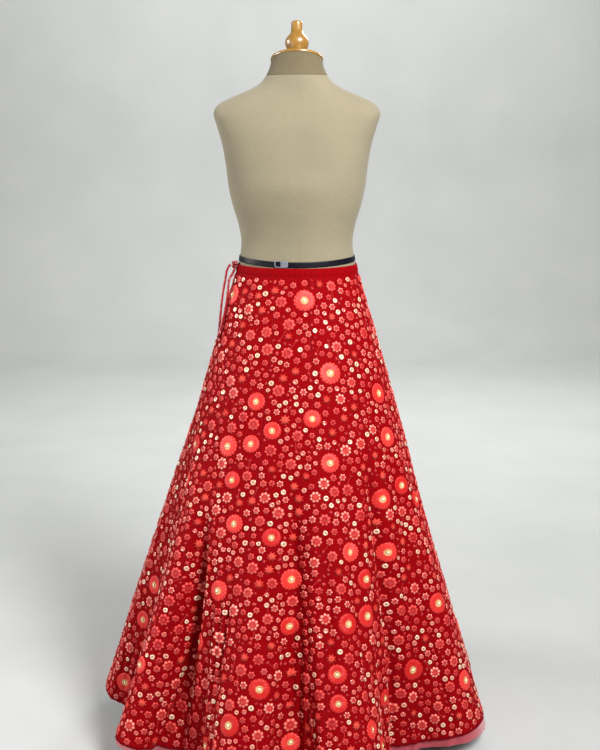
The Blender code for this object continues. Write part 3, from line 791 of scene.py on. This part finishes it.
# Throws motifs on the flat cloth, largest kinds first, and keeps those that miss the others
def layMotifs(look):
    random = np.random.default_rng(look["seed"])
    room = 8000
    taken = np.full((room, 3), -9.0)  # share, down, radius
    laid = {kind: [] for kind in motifKinds}
    stems = []
    levels = np.linspace(0, 1, len(cloth["perimeter"]))
    length = skirt["length"]
    filled = np.cumsum(cloth["perimeter"]) / np.sum(cloth["perimeter"])
    used = 0

    def fits(share, down, radius, clear):
        perimeter = np.interp(down, levels, cloth["perimeter"])
        if not look["topClear"] + radius < down * length < length - look["hemClear"] - radius:
            return False
        toSeam = abs((share * skirt["kalis"] + 0.5) % 1 - 0.5) / skirt["kalis"] * perimeter
        if toSeam < radius * clear:
            return False
        found = taken[:used]
        apart = np.hypot(((found[:, 0] - share + 0.5) % 1 - 0.5) * perimeter, (found[:, 1] - down) * length)
        return bool(np.all(apart > found[:, 2] + radius + look["gap"]))

    def place(kind, share, down, radius):
        nonlocal used
        if used >= room or not fits(share, down, radius, motifKinds[kind]["clear"]):
            return False
        taken[used] = share % 1, down, radius
        used += 1
        laid[kind].append((share % 1, down, radius, random.uniform(0, 2 * pi), random.uniform()))
        return True

    for kind, facts in motifKinds.items():
        low, high = (size * mm for size in facts["radius"])
        for attempt in range(facts["count"] * 60):
            if len(laid[kind]) >= facts["count"]:
                break
            down = np.interp(random.uniform(), filled, levels)
            share, radius = random.uniform(), random.uniform(low, high)
            if not place(kind, share, down, radius):
                continue
            perimeter = np.interp(down, levels, cloth["perimeter"])
            if kind in ("flower", "star", "blossom") and random.uniform() < 0.4:  # a stem to a small one
                reach = radius + random.uniform(*look["stem"]) + 6 * mm
                turn = random.normal(0, 0.5) + (pi if random.uniform() < 0.3 else 0)
                end = "button" if random.uniform() < 0.6 else "bud"
                tip = share + sin(turn) * reach / perimeter, down + cos(turn) * reach / length
                if place(end, *tip, 6 * mm if end == "button" else 4.5 * mm):
                    stems.append((share, down, *tip, radius, random.uniform(-1, 1)))
            if kind == "button":  # a short string of them
                turn, bend = random.uniform(0, 2 * pi), random.uniform(-0.7, 0.7)
                for follow in range(random.integers(0, 4)):
                    share += sin(turn) * 17 * mm / perimeter
                    down += cos(turn) * 17 * mm / length
                    turn += bend
                    if not place(kind, share, down, radius):
                        break
    return {kind: np.array(rows) for kind, rows in laid.items()}, np.array(stems)


# One relief: outline radius = 1 - notch * share * (1 - cos(petals * angle)) / 2, so its rings
# grow rounder inward, and height = ring height * (1 - groove * (1 - cos(petals * angle)) / 2).
# spiral turns the inner rings. Rings above and below meet in the outline, and a point closes each side.
def motifShape(facts):
    around = facts["around"]
    angle = np.linspace(0, 2 * pi, around, endpoint=False)
    above, under = np.array(facts["rings"])[::-1], [(share, -0.3) for share in facts["under"]]
    rings = np.array(list(above) + under)
    between = (1 - np.cos(facts["petals"] * angle)) / 2
    reach = rings[:, :1] * (1 - facts["notch"] * between * rings[:, :1])
    height = rings[:, 1:] * (1 - facts.get("groove", 0) * between * rings[:, :1])
    turned = angle + facts.get("spiral", 0) * (1 - rings[:, :1])
    points = np.stack((reach * np.cos(turned), reach * np.sin(turned), height * mm), axis=2)
    peak, pit = (0, 0, above[-1, 1] * mm), (0, 0, -0.3 * mm)
    points = np.concatenate((points.reshape(-1, 3), (peak, pit)))
    ring = np.arange(around)
    after = np.roll(ring, -1)
    top, low = (len(above) - 1) * around, (len(rings) - 1) * around if under else 0
    faces = [gridQuads(len(above), around, True)]
    faces.append(np.stack((top + ring, top + after, 0 * ring + len(points) - 2), axis=1))
    faces.append(np.stack((low + after, low + ring, 0 * ring + len(points) - 1), axis=1))
    if under:
        first = len(above) * around
        faces.append(np.stack((ring, first + ring, first + after, after), axis=1))
        faces.append(gridQuads(len(under), around, True, first, True))
    return points, faces


# Lays one kind's relief at each of its places: share and down from its turned x and y
def makeMotifs(kind, places, material, lift=0.15 * mm):
    shape, faces = motifShape(motifKinds.get(kind, pearlShape))
    share, down, radius, turn, tone = (places[:, column, None] for column in range(5))
    levels = np.linspace(0, 1, len(cloth["perimeter"]))
    perimeter = np.interp(down, levels, cloth["perimeter"])
    x = radius * (shape[:, 0] * np.cos(turn) - shape[:, 1] * np.sin(turn))
    y = radius * (shape[:, 0] * np.sin(turn) + shape[:, 1] * np.cos(turn))
    points = onCloth(cloth, share + x / perimeter, down - y / skirt["length"], shape[:, 2] + lift + 0 * x)
    count, size = len(places), len(shape)
    first = (np.arange(count) * size)[:, None, None]
    joined = [(block[None] + first).reshape(-1, block.shape[1]) for block in faces]
    uv = np.tile(0.5 + 0.5 * shape[:, :2], (count, 1))
    tones = np.repeat(tone.ravel(), size)
    piece = makePiece(f"{kind}Embroidery", points.reshape(-1, 3), joined, [material], uv, "motif", tones)
    return settle(piece)


# A pearl in the middle of each rosette, a low dome held by its cup
def makePearls(places, material):
    places = places * (1, 1, pearlShare, 1, 1)
    return makeMotifs("pearl", places, material, 1.3 * mm)


# Radius and angle in a motif's own UV: 0 at its middle, 1 at its outline
def motifPolar(tree):
    ends = {0: readUv(tree, "motif"), 1: (0.5, 0.5, 0)}
    centred = addNode(tree, "ShaderNodeVectorMath", {"operation": "SUBTRACT"}, ends)
    parts = addNode(tree, "ShaderNodeSeparateXYZ", None, {"Vector": centred.outputs[0]})
    length = addNode(tree, "ShaderNodeVectorMath", {"operation": "LENGTH"}, {0: centred.outputs[0]}).outputs["Value"]
    return calculate(tree, "MULTIPLY", length, 2.0), calculate(tree, "ARCTAN2", parts.outputs["Y"], parts.outputs["X"])


# 1 in the middle of each petal and 0 between two, with the inner ends turned by spiral
def ripple(tree, angle, waves, radius, spiral=0.0):
    turned = calculate(tree, "MULTIPLY_ADD", angle, waves, -waves * spiral)
    turned = calculate(tree, "MULTIPLY_ADD", radius, waves * spiral, turned)
    return calculate(tree, "MULTIPLY_ADD", calculate(tree, "COSINE", turned), 0.5, 0.5)


# Rayon floss in satin stitch: glossy, with the stitches running out from the middle, and painted shade between the
# stitches and between a rosette's petals.
# rim and heart are the colours outside and inside, each from its darker to its lighter tone.
flossLooks = {
    "rosette": {"dark": "#BA1A16", "light": "#E6443C", "heart": "#E6CC94",
                "heartEdge": 0.31, "stitches": 32, "beads": 0},
    "flower": {"dark": "#AE181C", "light": "#DE4C42", "heart": "#C83C38",
                "heartEdge": 0.16, "stitches": 16, "beads": 8},
    "star": {"dark": "#BC201A", "light": "#E44C3E", "heart": "#DA604C",
                "heartEdge": 0.26, "stitches": 16, "beads": 0},
    "blossom": {"dark": "#B21A1C", "light": "#E25C54", "heart": "#98060E",
                "heartEdge": 0.20, "stitches": 12, "beads": 6},
    "bud": {"dark": "#A0121A", "light": "#D8504C", "heart": "#C03034",
                "heartEdge": 0.20, "stitches": 8, "beads": 0},
}


def flossMaterial(kind, look):
    values = {"Roughness": 0.4, "Sheen Weight": 0.15, "Sheen Roughness": 0.35, "Specular IOR Level": 0.22}
    made, tree, shader = newMaterial(f"{kind}SatinStitch", values)
    shader.inputs["Sheen Tint"].default_value = hexColour("#FF7060")
    radius, angle = motifPolar(tree)
    tone = addNode(tree, "ShaderNodeAttribute", {"attribute_name": "tone"}).outputs["Fac"]
    facts = motifKinds[kind]
    stitch = ripple(tree, angle, look["stitches"], radius, facts.get("spiral", 0.0))
    colour = mixColours(tree, tone, hexColour(look["dark"]), hexColour(look["light"]))
    # Painted shade: the floss is darkened between its stitches, where the grooves are
    stitchGroovePaintedShade = mixColours(tree, 0.3 if kind == "rosette" else 0.6, colour, hexColour("#78000A"))
    colour = mixColours(tree, smoothStep(tree, stitch, 0.05, 0.6), stitchGroovePaintedShade, colour)
    if "groove" in facts:
        # Painted shade: a rosette's floss is darkened between its petals, where they part
        petal = ripple(tree, angle, facts["petals"], radius, facts["spiral"])
        colour = mixColours(tree, smoothStep(tree, petal, 0.0, 0.22), hexColour("#BE141C"), colour)
    if look["beads"]:
        bead = ripple(tree, angle, look["beads"], radius)
        ring = calculate(tree, "MULTIPLY", smoothStep(tree, radius, 0.52, 0.66), smoothStep(tree, bead, 0.25, 0.75))
        pale = mixColours(tree, smoothStep(tree, tone, 0.45, 1.0), hexColour("#DC4E48"), hexColour("#F0AA98"))
        colour = mixColours(tree, ring, colour, pale)
        dots = calculate(tree, "MULTIPLY", smoothStep(tree, radius, 0.56, 0.46), smoothStep(tree, radius, 0.24, 0.34))
        colour = mixColours(tree, calculate(tree, "MULTIPLY", dots, 0.7), colour, hexColour("#8A000C"))
    soft = 0.10 if kind == "rosette" else 0.05
    heart = smoothStep(tree, radius, look["heartEdge"] + soft, look["heartEdge"] - soft)
    grain = noise(tree, readUv(tree, "motif"), 26.0)
    heartShade = hexColour("#B88C50" if kind == "rosette" else look["dark"])
    inside = mixColours(tree, smoothStep(tree, grain, 0.42, 0.6), heartShade, hexColour(look["heart"]))
    connect(tree, shader, {
        "Base Color": mixColours(tree, heart, colour, inside),
        "Normal": bump(tree, calculate(tree, "ADD", stitch, grain), 0.3 * mm),
    })
    return made


# Moulded resin sequins with a dimple, pearl coated: pale cream to coral pink, and glossy, with painted shade round the
# edge and in the dimple
def buttonMaterial():
    values = {"Roughness": 0.26, "Metallic": 0.25, "Coat Weight": 0.5, "Coat Roughness": 0.12}
    made, tree, shader = newMaterial("pearlResin", values)
    radius, angle = motifPolar(tree)
    tone = addNode(tree, "ShaderNodeAttribute", {"attribute_name": "tone"}).outputs["Fac"]
    pale = mixColours(tree, smoothStep(tree, tone, 0.2, 0.9), hexColour("#D85C52"), hexColour("#E8C4A4"))
    # Painted shade: the sequin is darkened round its edge, where it meets the cloth
    rim = smoothStep(tree, radius, 0.76, 0.96)
    colour = mixColours(tree, rim, pale, hexColour("#8E141A"))
    # Painted shade: the sequin is darkened in its dimple
    dimple = smoothStep(tree, radius, 0.50, 0.22)
    colour = mixColours(tree, calculate(tree, "MULTIPLY", dimple, 0.8), colour, hexColour("#96503E"))
    connect(tree, shader, {"Base Color": colour, "Normal": bump(tree, noise(tree, readUv(tree, "motif"), 9.0), 0.15 * mm)})
    return made


# Glass pearl, pearl coated: warm white and glossy, darker where it meets its cup
def pearlMaterial():
    made, tree, shader = newMaterial("glassPearl", {"Roughness": 0.16, "Coat Weight": 0.6, "Coat Roughness": 0.06})
    radius, angle = motifPolar(tree)
    colour = mixColours(tree, smoothStep(tree, radius, 0.55, 1.0), hexColour("#FFF0CE"), hexColour("#B4863E"))
    connect(tree, shader, {"Base Color": colour})
    return made


# Thin stems in stem stitch, and the double line of stitches along each seam
stemSet = {"width": 1.4 * mm, "height": 0.7 * mm, "steps": 7, "seamWidth": 0.8 * mm, "seamApart": 2.2 * mm}


# A flat path with a raised middle: points at -width / 2, 0 and +width / 2 across it, in the cloth
def strips(share, down, width, height):
    perimeter = np.interp(down, np.linspace(0, 1, len(cloth["perimeter"])), cloth["perimeter"])
    alongX, alongY = np.gradient(share, axis=1) * perimeter, np.gradient(down, axis=1) * skirt["length"]
    size = np.hypot(alongX, alongY)
    points = []
    for side, lift in ((-0.5, 0.05 * mm), (0.0, height), (0.5, 0.05 * mm)):
        moved = side * width / size
        shareThere = share + alongY * moved / perimeter
        downThere = down - alongX * moved / skirt["length"]
        points.append(onCloth(cloth, shareThere, downThere, lift + 0 * share))
    points = np.stack(points, axis=2)
    paths, steps = share.shape
    faces = gridQuads(steps, 3)
    thisRow, nextRow = np.arange(steps - 1) * 3, np.arange(1, steps) * 3
    under = np.stack((thisRow, nextRow, nextRow + 2, thisRow + 2), axis=1)
    ends = np.array(((0, 1, 2), (3 * steps - 1, 3 * steps - 2, 3 * steps - 3)))
    first = (np.arange(paths) * steps * 3)[:, None, None]
    blocks = [(block[None] + first).reshape(-1, block.shape[1]) for block in (faces, under, ends)]
    return points.reshape(-1, 3), blocks


def threadMaterial(name, dark, light):
    made, tree, shader = newMaterial(name, {"Roughness": 0.55, "Specular IOR Level": 0.15})
    strand = noise(tree, readPlace(tree), 420.0)
    colour = mixColours(tree, strand, hexColour(dark), hexColour(light))
    connect(tree, shader, {"Base Color": colour, "Normal": bump(tree, strand, 0.2 * mm)})
    return made


def addStems(stems, look):
    thread = threadMaterial("coralFloss", "#98101A", "#D84440")
    seamThread = threadMaterial("polyesterSeamThread", "#6A0008", "#A01018")
    t = np.linspace(0, 1, look["steps"])[None]
    share0, down0, share1, down1, radius, bend = (stems[:, column, None] for column in range(6))
    bow = 3 * mm * bend * np.sin(pi * t) / skirt["length"]
    share, down = share0 + (share1 - share0) * t + bow, down0 + (down1 - down0) * t
    points, faces = strips(share, down, look["width"], look["height"])
    settle(makePiece("stemStitches", points, faces, [thread]))
    down = np.linspace(0.008, 0.994, skirt["rows"])[None] + np.zeros((2 * skirt["kalis"], 1))
    perimeter = np.interp(down, np.linspace(0, 1, len(cloth["perimeter"])), cloth["perimeter"])
    seam = np.repeat(np.arange(skirt["kalis"]), 2)[:, None] / skirt["kalis"]
    side = np.tile((-1, 1), skirt["kalis"])[:, None]
    share = seam + side * look["seamApart"] / perimeter
    points, faces = strips(share, down, look["seamWidth"], 0.45 * mm)
    settle(makePiece("seamStitches", points, faces, [seamThread]))


places, stems = layMotifs(layoutSet)
for kind in motifKinds:
    finish = buttonMaterial() if kind == "button" else flossMaterial(kind, flossLooks[kind])
    makeMotifs(kind, places[kind], finish)
    print("motifs laid:", kind, len(places[kind]))
makePearls(places["rosette"], pearlMaterial())
addStems(stems, stemSet)
print("stems laid:", len(stems))


# Dress form

formSet = {"around": 120, "rows": 96, "neckTopZ": 1.536, "neckTopRadius": 0.056, "neckWaist": 0.03, "neckTilt": 20.5}


# Cubic Hermite between the sections, its slopes from their neighbours
def smoothSections(z):
    heights = formSections[:, 0]
    index = np.clip(np.searchsorted(heights, z, side="right") - 1, 0, len(heights) - 2)
    gap = heights[index + 1] - heights[index]
    t = ((z - heights[index]) / gap)[:, None]
    slope = np.gradient(formSections, heights, axis=0)
    a, b, gap = formSections[index], formSections[index + 1], gap[:, None]
    return (
        a * (2 * t**3 - 3 * t**2 + 1) + slope[index] * gap * (t**3 - 2 * t**2 + t)
        + b * (3 * t**2 - 2 * t**3) + slope[index + 1] * gap * (t**3 - t**2)
    )


# Linen cover, plain woven and pulled tight over the padding: olive cream, matt, a little slubbed.
# The threads are 0.5 mm apart and drawn 1.4 mm apart, so that they show at all.
def linenMaterial(name, dark, light, worn):
    made, tree, shader = newMaterial(name, {"Roughness": 0.88, "Sheen Weight": 0.1, "Specular IOR Level": 0.25})
    place = readPlace(tree)
    slub = noise(tree, stretched(tree, place, (120, 120, 900)), 1.0, 3.0)
    warp = noise(tree, stretched(tree, place, (700, 700, 90)), 1.0)
    patch = noise(tree, place, 9.0)
    colour = mixColours(tree, slub, hexColour(dark), hexColour(light))
    colour = mixColours(tree, smoothStep(tree, patch, 0.4, 0.75), colour, hexColour(worn))
    connect(tree, shader, {"Base Color": colour, "Normal": bump(tree, calculate(tree, "ADD", slub, warp), 0.2 * mm)})
    return made


# x = half width * sign(cos) * |cos| ^ (2 / squareness), and y the same with sin and half depth
def ringPoints(rows, count):
    angle = np.linspace(0, 2 * pi, count, endpoint=False)[None]
    z, width, depth, offset, square = (rows[:, column, None] for column in range(5))
    x = width * np.sign(np.cos(angle)) * np.abs(np.cos(angle)) ** (2 / square)
    y = depth * np.sign(np.sin(angle)) * np.abs(np.sin(angle)) ** (2 / square) + offset
    return np.stack((x, y, z + 0 * angle), axis=2)


# Rings from the lowest up, with a face over each end
def stackFaces(rows, around):
    return [gridQuads(rows, around, True), np.arange(around)[None, ::-1], np.arange(around)[None] + (rows - 1) * around]


# A seam dips the cover by 0.8 mm over 2.5 mm each side; the neck is a separate piece above it
def addForm(look):
    linen = linenMaterial("stretchedLinen", "#706954", "#8A816A", "#7A725D")
    # The neck cover is a darker linen, and its colour is darkened further as painted shade, for the shade the neck
    # stands in
    neckLinenPaintedShade = linenMaterial("neckLinenPaintedShade", "#574E39", "#6B6049", "#605640")
    around, rows = look["around"], look["rows"]
    z = np.linspace(formSections[0, 0], formSections[-1, 0], rows)
    rings = ringPoints(smoothSections(z), around)
    middle = rings.mean(axis=1, keepdims=True)
    outward = rings - middle
    reach = np.linalg.norm(outward, axis=2, keepdims=True)
    angle = np.degrees(np.arctan2(outward[..., 1], outward[..., 0]))
    dip = np.zeros(angle.shape)
    for seam in (0.0, 180.0, -90.0):
        apart = np.radians((angle - seam + 180) % 360 - 180) * reach[..., 0]
        dip += np.exp(-((apart / (2.5 * mm)) ** 2))
    dip += np.exp(-(((z[-1] - z)[:, None] / (2.0 * mm)) ** 2))
    rings -= outward / reach * (0.8 * mm * np.clip(dip, 0, 1))[..., None]
    torso = makePiece("formTorso", rings.reshape(-1, 3), stackFaces(rows, around), [linen], sharp=50)
    settle(torso, ["form_torso"])
    tilt = radians(look["neckTilt"])
    root = formSections[-1:].copy()
    root[0, 0] += skirt["seamGap"]
    low = ringPoints(root, around)[0]
    circle = np.linspace(0, 2 * pi, around, endpoint=False)
    x, y = look["neckTopRadius"] * np.cos(circle), look["neckTopRadius"] * np.sin(circle)
    high = np.stack((x, y * cos(tilt), look["neckTopZ"] - skirt["seamGap"] - y * sin(tilt)), axis=1)
    part = np.linspace(0, 1, 16)[:, None, None]
    rings = low[None] + (high - low)[None] * part
    rings[..., :2] *= 1 - look["neckWaist"] * np.sin(pi * part)
    neck = makePiece("formNeck", rings.reshape(-1, 3), stackFaces(16, around), [neckLinenPaintedShade], sharp=50)
    settle(neck, ["form_neck"])


addForm(formSet)
print("form made")


# Turned wood and the stand

turnedSet = {
    "plate": ((0.0, 0.0556), (0.0004, 0.0567), (0.0014, 0.0572), (0.0046, 0.0572), (0.0056, 0.0567), (0.006, 0.0556)),
    "finial": (
        (0.000, 0.0190), (0.004, 0.0205), (0.009, 0.0190), (0.014, 0.0172), (0.020, 0.0205),
        (0.028, 0.0245), (0.035, 0.0258), (0.042, 0.0248), (0.049, 0.0205), (0.056, 0.0156),
        (0.062, 0.0134), (0.074, 0.0126), (0.080, 0.0128), (0.083, 0.0116),
    ),
    "plateThickness": 0.006,
}


# Oak, turned and lacquered: golden, with fine darker pores along the grain under a hard gloss
def oakMaterial():
    values = {"Roughness": 0.35, "Coat Weight": 0.45, "Coat Roughness": 0.12}
    made, tree, shader = newMaterial("lacqueredOak", values)
    place = readPlace(tree)
    pores = noise(tree, stretched(tree, place, (900, 900, 60)), 1.0, 4.0)
    bands = noise(tree, stretched(tree, place, (120, 120, 14)), 1.0, 3.0)
    colour = mixColours(tree, bands, hexColour("#74501A"), hexColour("#9A7434"))
    colour = mixColours(tree, smoothStep(tree, pores, 0.56, 0.7), colour, hexColour("#624012"))
    connect(tree, shader, {"Base Color": colour, "Normal": bump(tree, pores, 0.08 * mm)})
    return made


# Powder-coated steel: baked powder, black, with a fine orange peel
def powderCoatMaterial():
    made, tree, shader = newMaterial("powderCoatedSteel", {"Roughness": 0.5})
    peel = noise(tree, readPlace(tree), 900.0)
    colour = mixColours(tree, peel, hexColour("#161616"), hexColour("#222222"))
    connect(tree, shader, {"Base Color": colour, "Normal": bump(tree, peel, 0.05 * mm)})
    return made


# A profile of heights and radii carried round the upright axis, its corners kept by the ends
def turnedPiece(name, profile, around, place, material, smooth=0):
    profile = np.array(profile)
    if smooth:
        route = smoothRoute(np.column_stack((profile, np.zeros(len(profile)))), smooth)
        profile = np.clip(route[:, :2], (profile[0, 0], 0), (profile[-1, 0], 1))
    angle = np.linspace(0, 2 * pi, around, endpoint=False)[None]
    height, radius = profile[:, :1], profile[:, 1:]
    rings = np.stack((radius * np.cos(angle), radius * np.sin(angle), height + 0 * angle), axis=2)
    return makePiece(name, place(rings.reshape(-1, 3)), stackFaces(len(profile), around), [material], sharp=40)


def onNeck(points):
    tilt = radians(formSet["neckTilt"])
    x, y, z = points.T
    return np.stack((x, y * cos(tilt) + z * sin(tilt), formSet["neckTopZ"] - y * sin(tilt) + z * cos(tilt)), axis=1)


def addWood(look):
    oak = oakMaterial()
    settle(turnedPiece("neckPlate", look["plate"], 128, onNeck, oak), ["neck_plate"])
    seat = look["plateThickness"] + skirt["seamGap"]
    profile = [(height + seat, radius) for height, radius in look["finial"]]
    settle(turnedPiece("turnedFinial", profile, 64, onNeck, oak, 70), ["finial"])


def addStandFinish():
    steel = powderCoatMaterial()
    for node in ("stand_base", "stand_pole", "stand_collar"):
        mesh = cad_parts[node].data
        mesh.materials.clear()
        mesh.materials.append(steel)


addWood(turnedSet)
addStandFinish()
print("wood and stand made")


# Elastic round the form's waist, and the slider it runs through

elasticSet = {"height": 0.012, "wall": 0.0016, "backZ": 1.1035, "sideZ": 1.1090, "around": 260, "rows": 16}
sliderSet = {
    "azimuth": -15.0,
    "width": 0.030,
    "height": 0.015,
    "wall": 0.0022,
    "lift": 0.0012,
    "bar": 0.0011,
    "plate": 0.0012,
}


def elasticMiddle(azimuth):
    return elasticSet["backZ"] + (elasticSet["sideZ"] - elasticSet["backZ"]) * np.sin(azimuth) ** 2


# Woven elastic, glossy black: ribs run along it, 1.2 mm apart, and its edges are rounded
def elasticMaterial():
    made, tree, shader = newMaterial("wovenElastic", {"Roughness": 0.42, "Specular IOR Level": 0.16})
    rib = noise(tree, stretched(tree, readUv(tree, "cloth"), (700, 2600, 1)), 1.0)
    colour = mixColours(tree, rib, hexColour("#050508"), hexColour("#120F1C"))
    connect(tree, shader, {"Base Color": colour, "Normal": bump(tree, rib, 0.15 * mm)})
    return made


# out = ribs 0.12 mm high along the band, with its edges 0.5 mm lower
def addElastic(look):
    azimuth = np.linspace(0, 2 * pi, look["around"], endpoint=False)[None]
    t = np.linspace(1, -1, look["rows"] + 1)[:, None]
    z = elasticMiddle(azimuth) + t * look["height"] / 2
    width, depth = formHalfSizes(z)
    edge = 0.5 * mm * np.abs(t) ** 6
    face = look["wall"] - edge + 0.12 * mm * np.cos(t * look["rows"] * pi / 2)
    sides = []
    for extra in (skirt["seamGap"] + face, skirt["seamGap"] + 0.2 * mm + 0 * t):
        place = ((width + extra) * np.sin(azimuth), -(depth + extra) * np.cos(azimuth), z)
        sides.append(np.stack(place, axis=2).reshape(-1, 3))
    uv = np.stack((azimuth * 0.13 + 0 * t, t * look["height"] / 2 + 0 * azimuth), axis=2).reshape(-1, 2)
    faces = wallFaces(look["rows"] + 1, look["around"], True)
    band = makePiece("wovenElastic", np.concatenate(sides), faces, [elasticMaterial()], np.concatenate((uv, uv)))
    settle(band, ["form_elastic"])


# Injection-moulded styrene, smoky clear: smooth, with a bright edge where light runs through it
def sliderMaterial():
    values = {"Roughness": 0.14, "Transmission Weight": 0.25, "IOR": 1.59, "Coat Weight": 0.4}
    made, tree, shader = newMaterial("smokyStyrene", values)
    flow = noise(tree, readPlace(tree), 160.0)
    connect(tree, shader, {"Base Color": mixColours(tree, flow, hexColour("#6A6C76"), hexColour("#90929C"))})
    return made


# A round bar along a rounded rectangle, |s| ^ 5 + |t| ^ 5 = 1, one more across its middle, and a
# plate in the half that the band's end doesn't fill
def addSlider(look):
    seat = skirt["seamGap"] * 2 + elasticSet["wall"] + look["wall"] / 2
    middle = radians(look["azimuth"])

    def place(across, high, seat):
        azimuth = middle + across / formHalfSizes(elasticSet["backZ"])[0]
        z = elasticMiddle(azimuth) + look["lift"] + high
        width, depth = formHalfSizes(z)
        return np.stack(((width + seat) * np.sin(azimuth), -(depth + seat) * np.cos(azimuth), z), axis=-1)

    angle = np.linspace(0, 2 * pi, 72, endpoint=False)
    s = np.sign(np.cos(angle)) * np.abs(np.cos(angle)) ** 0.4 * (look["width"] / 2 - look["bar"])
    t = np.sign(np.sin(angle)) * np.abs(np.sin(angle)) ** 0.4 * (look["height"] / 2 - look["bar"])
    barT = np.linspace(-1, 1, 14) * (look["height"] / 2 - look["bar"])
    points, faces, first = [], [], 0
    for across, high, closed in ((s, t, True), (0 * barT, barT, False)):
        path = place(across, high, seat)
        rings = tubePoints(path, np.full(len(path), look["bar"]), 10, closed)
        rows = len(rings)
        if closed:
            index = np.arange(rows * 10).reshape(rows, 10)
            index = np.concatenate((index, index[:1]))
            after = np.roll(index, -1, axis=1)
            faces.append(np.stack((index[:-1], after[:-1], after[1:], index[1:]), axis=-1).reshape(-1, 4))
        else:
            faces += [block + first for block in stackFaces(rows, 10)]
        points.append(rings.reshape(-1, 3))
        first += rows * 10
    half = np.array((look["width"], look["height"])) / 2 - look["bar"]
    s, t = np.meshgrid(np.linspace(0, half[0], 9), np.linspace(half[1], -half[1], 5))
    for side in (0.5, -0.5):
        points.append(place(s, t, seat + side * look["plate"]).reshape(-1, 3))
    faces += [block + first for block in wallFaces(5, 9)]
    slider = makePiece("elasticSlider", np.concatenate(points), faces, [sliderMaterial()])
    settle(slider, ["elastic_slider"])


addElastic(elasticSet)
addSlider(sliderSet)
print("elastic and slider made")


# Floor, backdrop and lights

stageSet = {"halfWidth": 7.0, "front": -7.0, "wallY": 5.4, "bend": 1.2, "top": 6.0}

# place, what it looks at, size and power of each soft lamp
lamps = {
    "key": ((1.5, -2.65, 3.1), (0.0, 0.0, 0.85), 0.8, 105),
    "top": ((1.1, -1.5, 2.7), (0.0, 0.0, 0.95), 0.7, 88),
    "fill": ((-2.6, -2.2, 1.2), (0.0, 0.0, 0.75), 1.6, 20),
    "rim": ((-2.9, 0.1, 1.9), (0.0, 0.0, 0.75), 1.2, 90),
    "back": ((1.6, 3.2, 2.9), (0.0, 0.0, 0.75), 1.4, 65),
    "wall": ((0.0, 2.4, 3.6), (0.0, 5.4, 2.0), 3.0, 170),
}


# One sheet: floor, a quarter bend, and wall
def addStage(look):
    angle = np.linspace(0, pi / 2, 13)
    y = np.concatenate(([look["front"]], look["wallY"] - look["bend"] * (1 - np.sin(angle)), [look["wallY"]]))
    z = np.concatenate(([0], look["bend"] * (1 - np.cos(angle)), [look["top"]]))
    x = np.array((-1, 1)) * look["halfWidth"]
    rows = np.stack((x[None] + 0 * y[:, None], y[:, None] + 0 * x[None], z[:, None] + 0 * x[None]), axis=2)
    made, tree, shader = newMaterial("mattPaintedBoard", {"Roughness": 0.9})
    tint = noise(tree, readPlace(tree), 3.0, 4.0)
    connect(tree, shader, {"Base Color": mixColours(tree, tint, hexColour("#A6A8A6"), hexColour("#B4B5B3"))})
    makePiece("backdrop", rows.reshape(-1, 3), [gridQuads(len(y), 2)], [made])


def addLamps():
    for name, (place, target, size, power) in lamps.items():
        data = bpy.data.lights.new(name, "AREA")
        data.size, data.energy = size, power
        lamp = bpy.data.objects.new(name, data)
        lamp.location = place
        lamp.visible_camera = False
        toward = np.array(target) - np.array(place)
        flat = np.hypot(toward[0], toward[1])
        lamp.rotation_euler = (pi / 2 + np.arctan2(toward[2], flat), 0, np.arctan2(-toward[0], toward[1]))
        bpy.context.scene.collection.objects.link(lamp)
    world = bpy.data.worlds.new("studio")
    world.use_nodes = True
    world.node_tree.nodes["Background"].inputs["Color"].default_value = hexColour("#EDEFF0")
    world.node_tree.nodes["Background"].inputs["Strength"].default_value = 0.16
    bpy.context.scene.world = world


addStage(stageSet)
addLamps()
print("stage and lamps set")
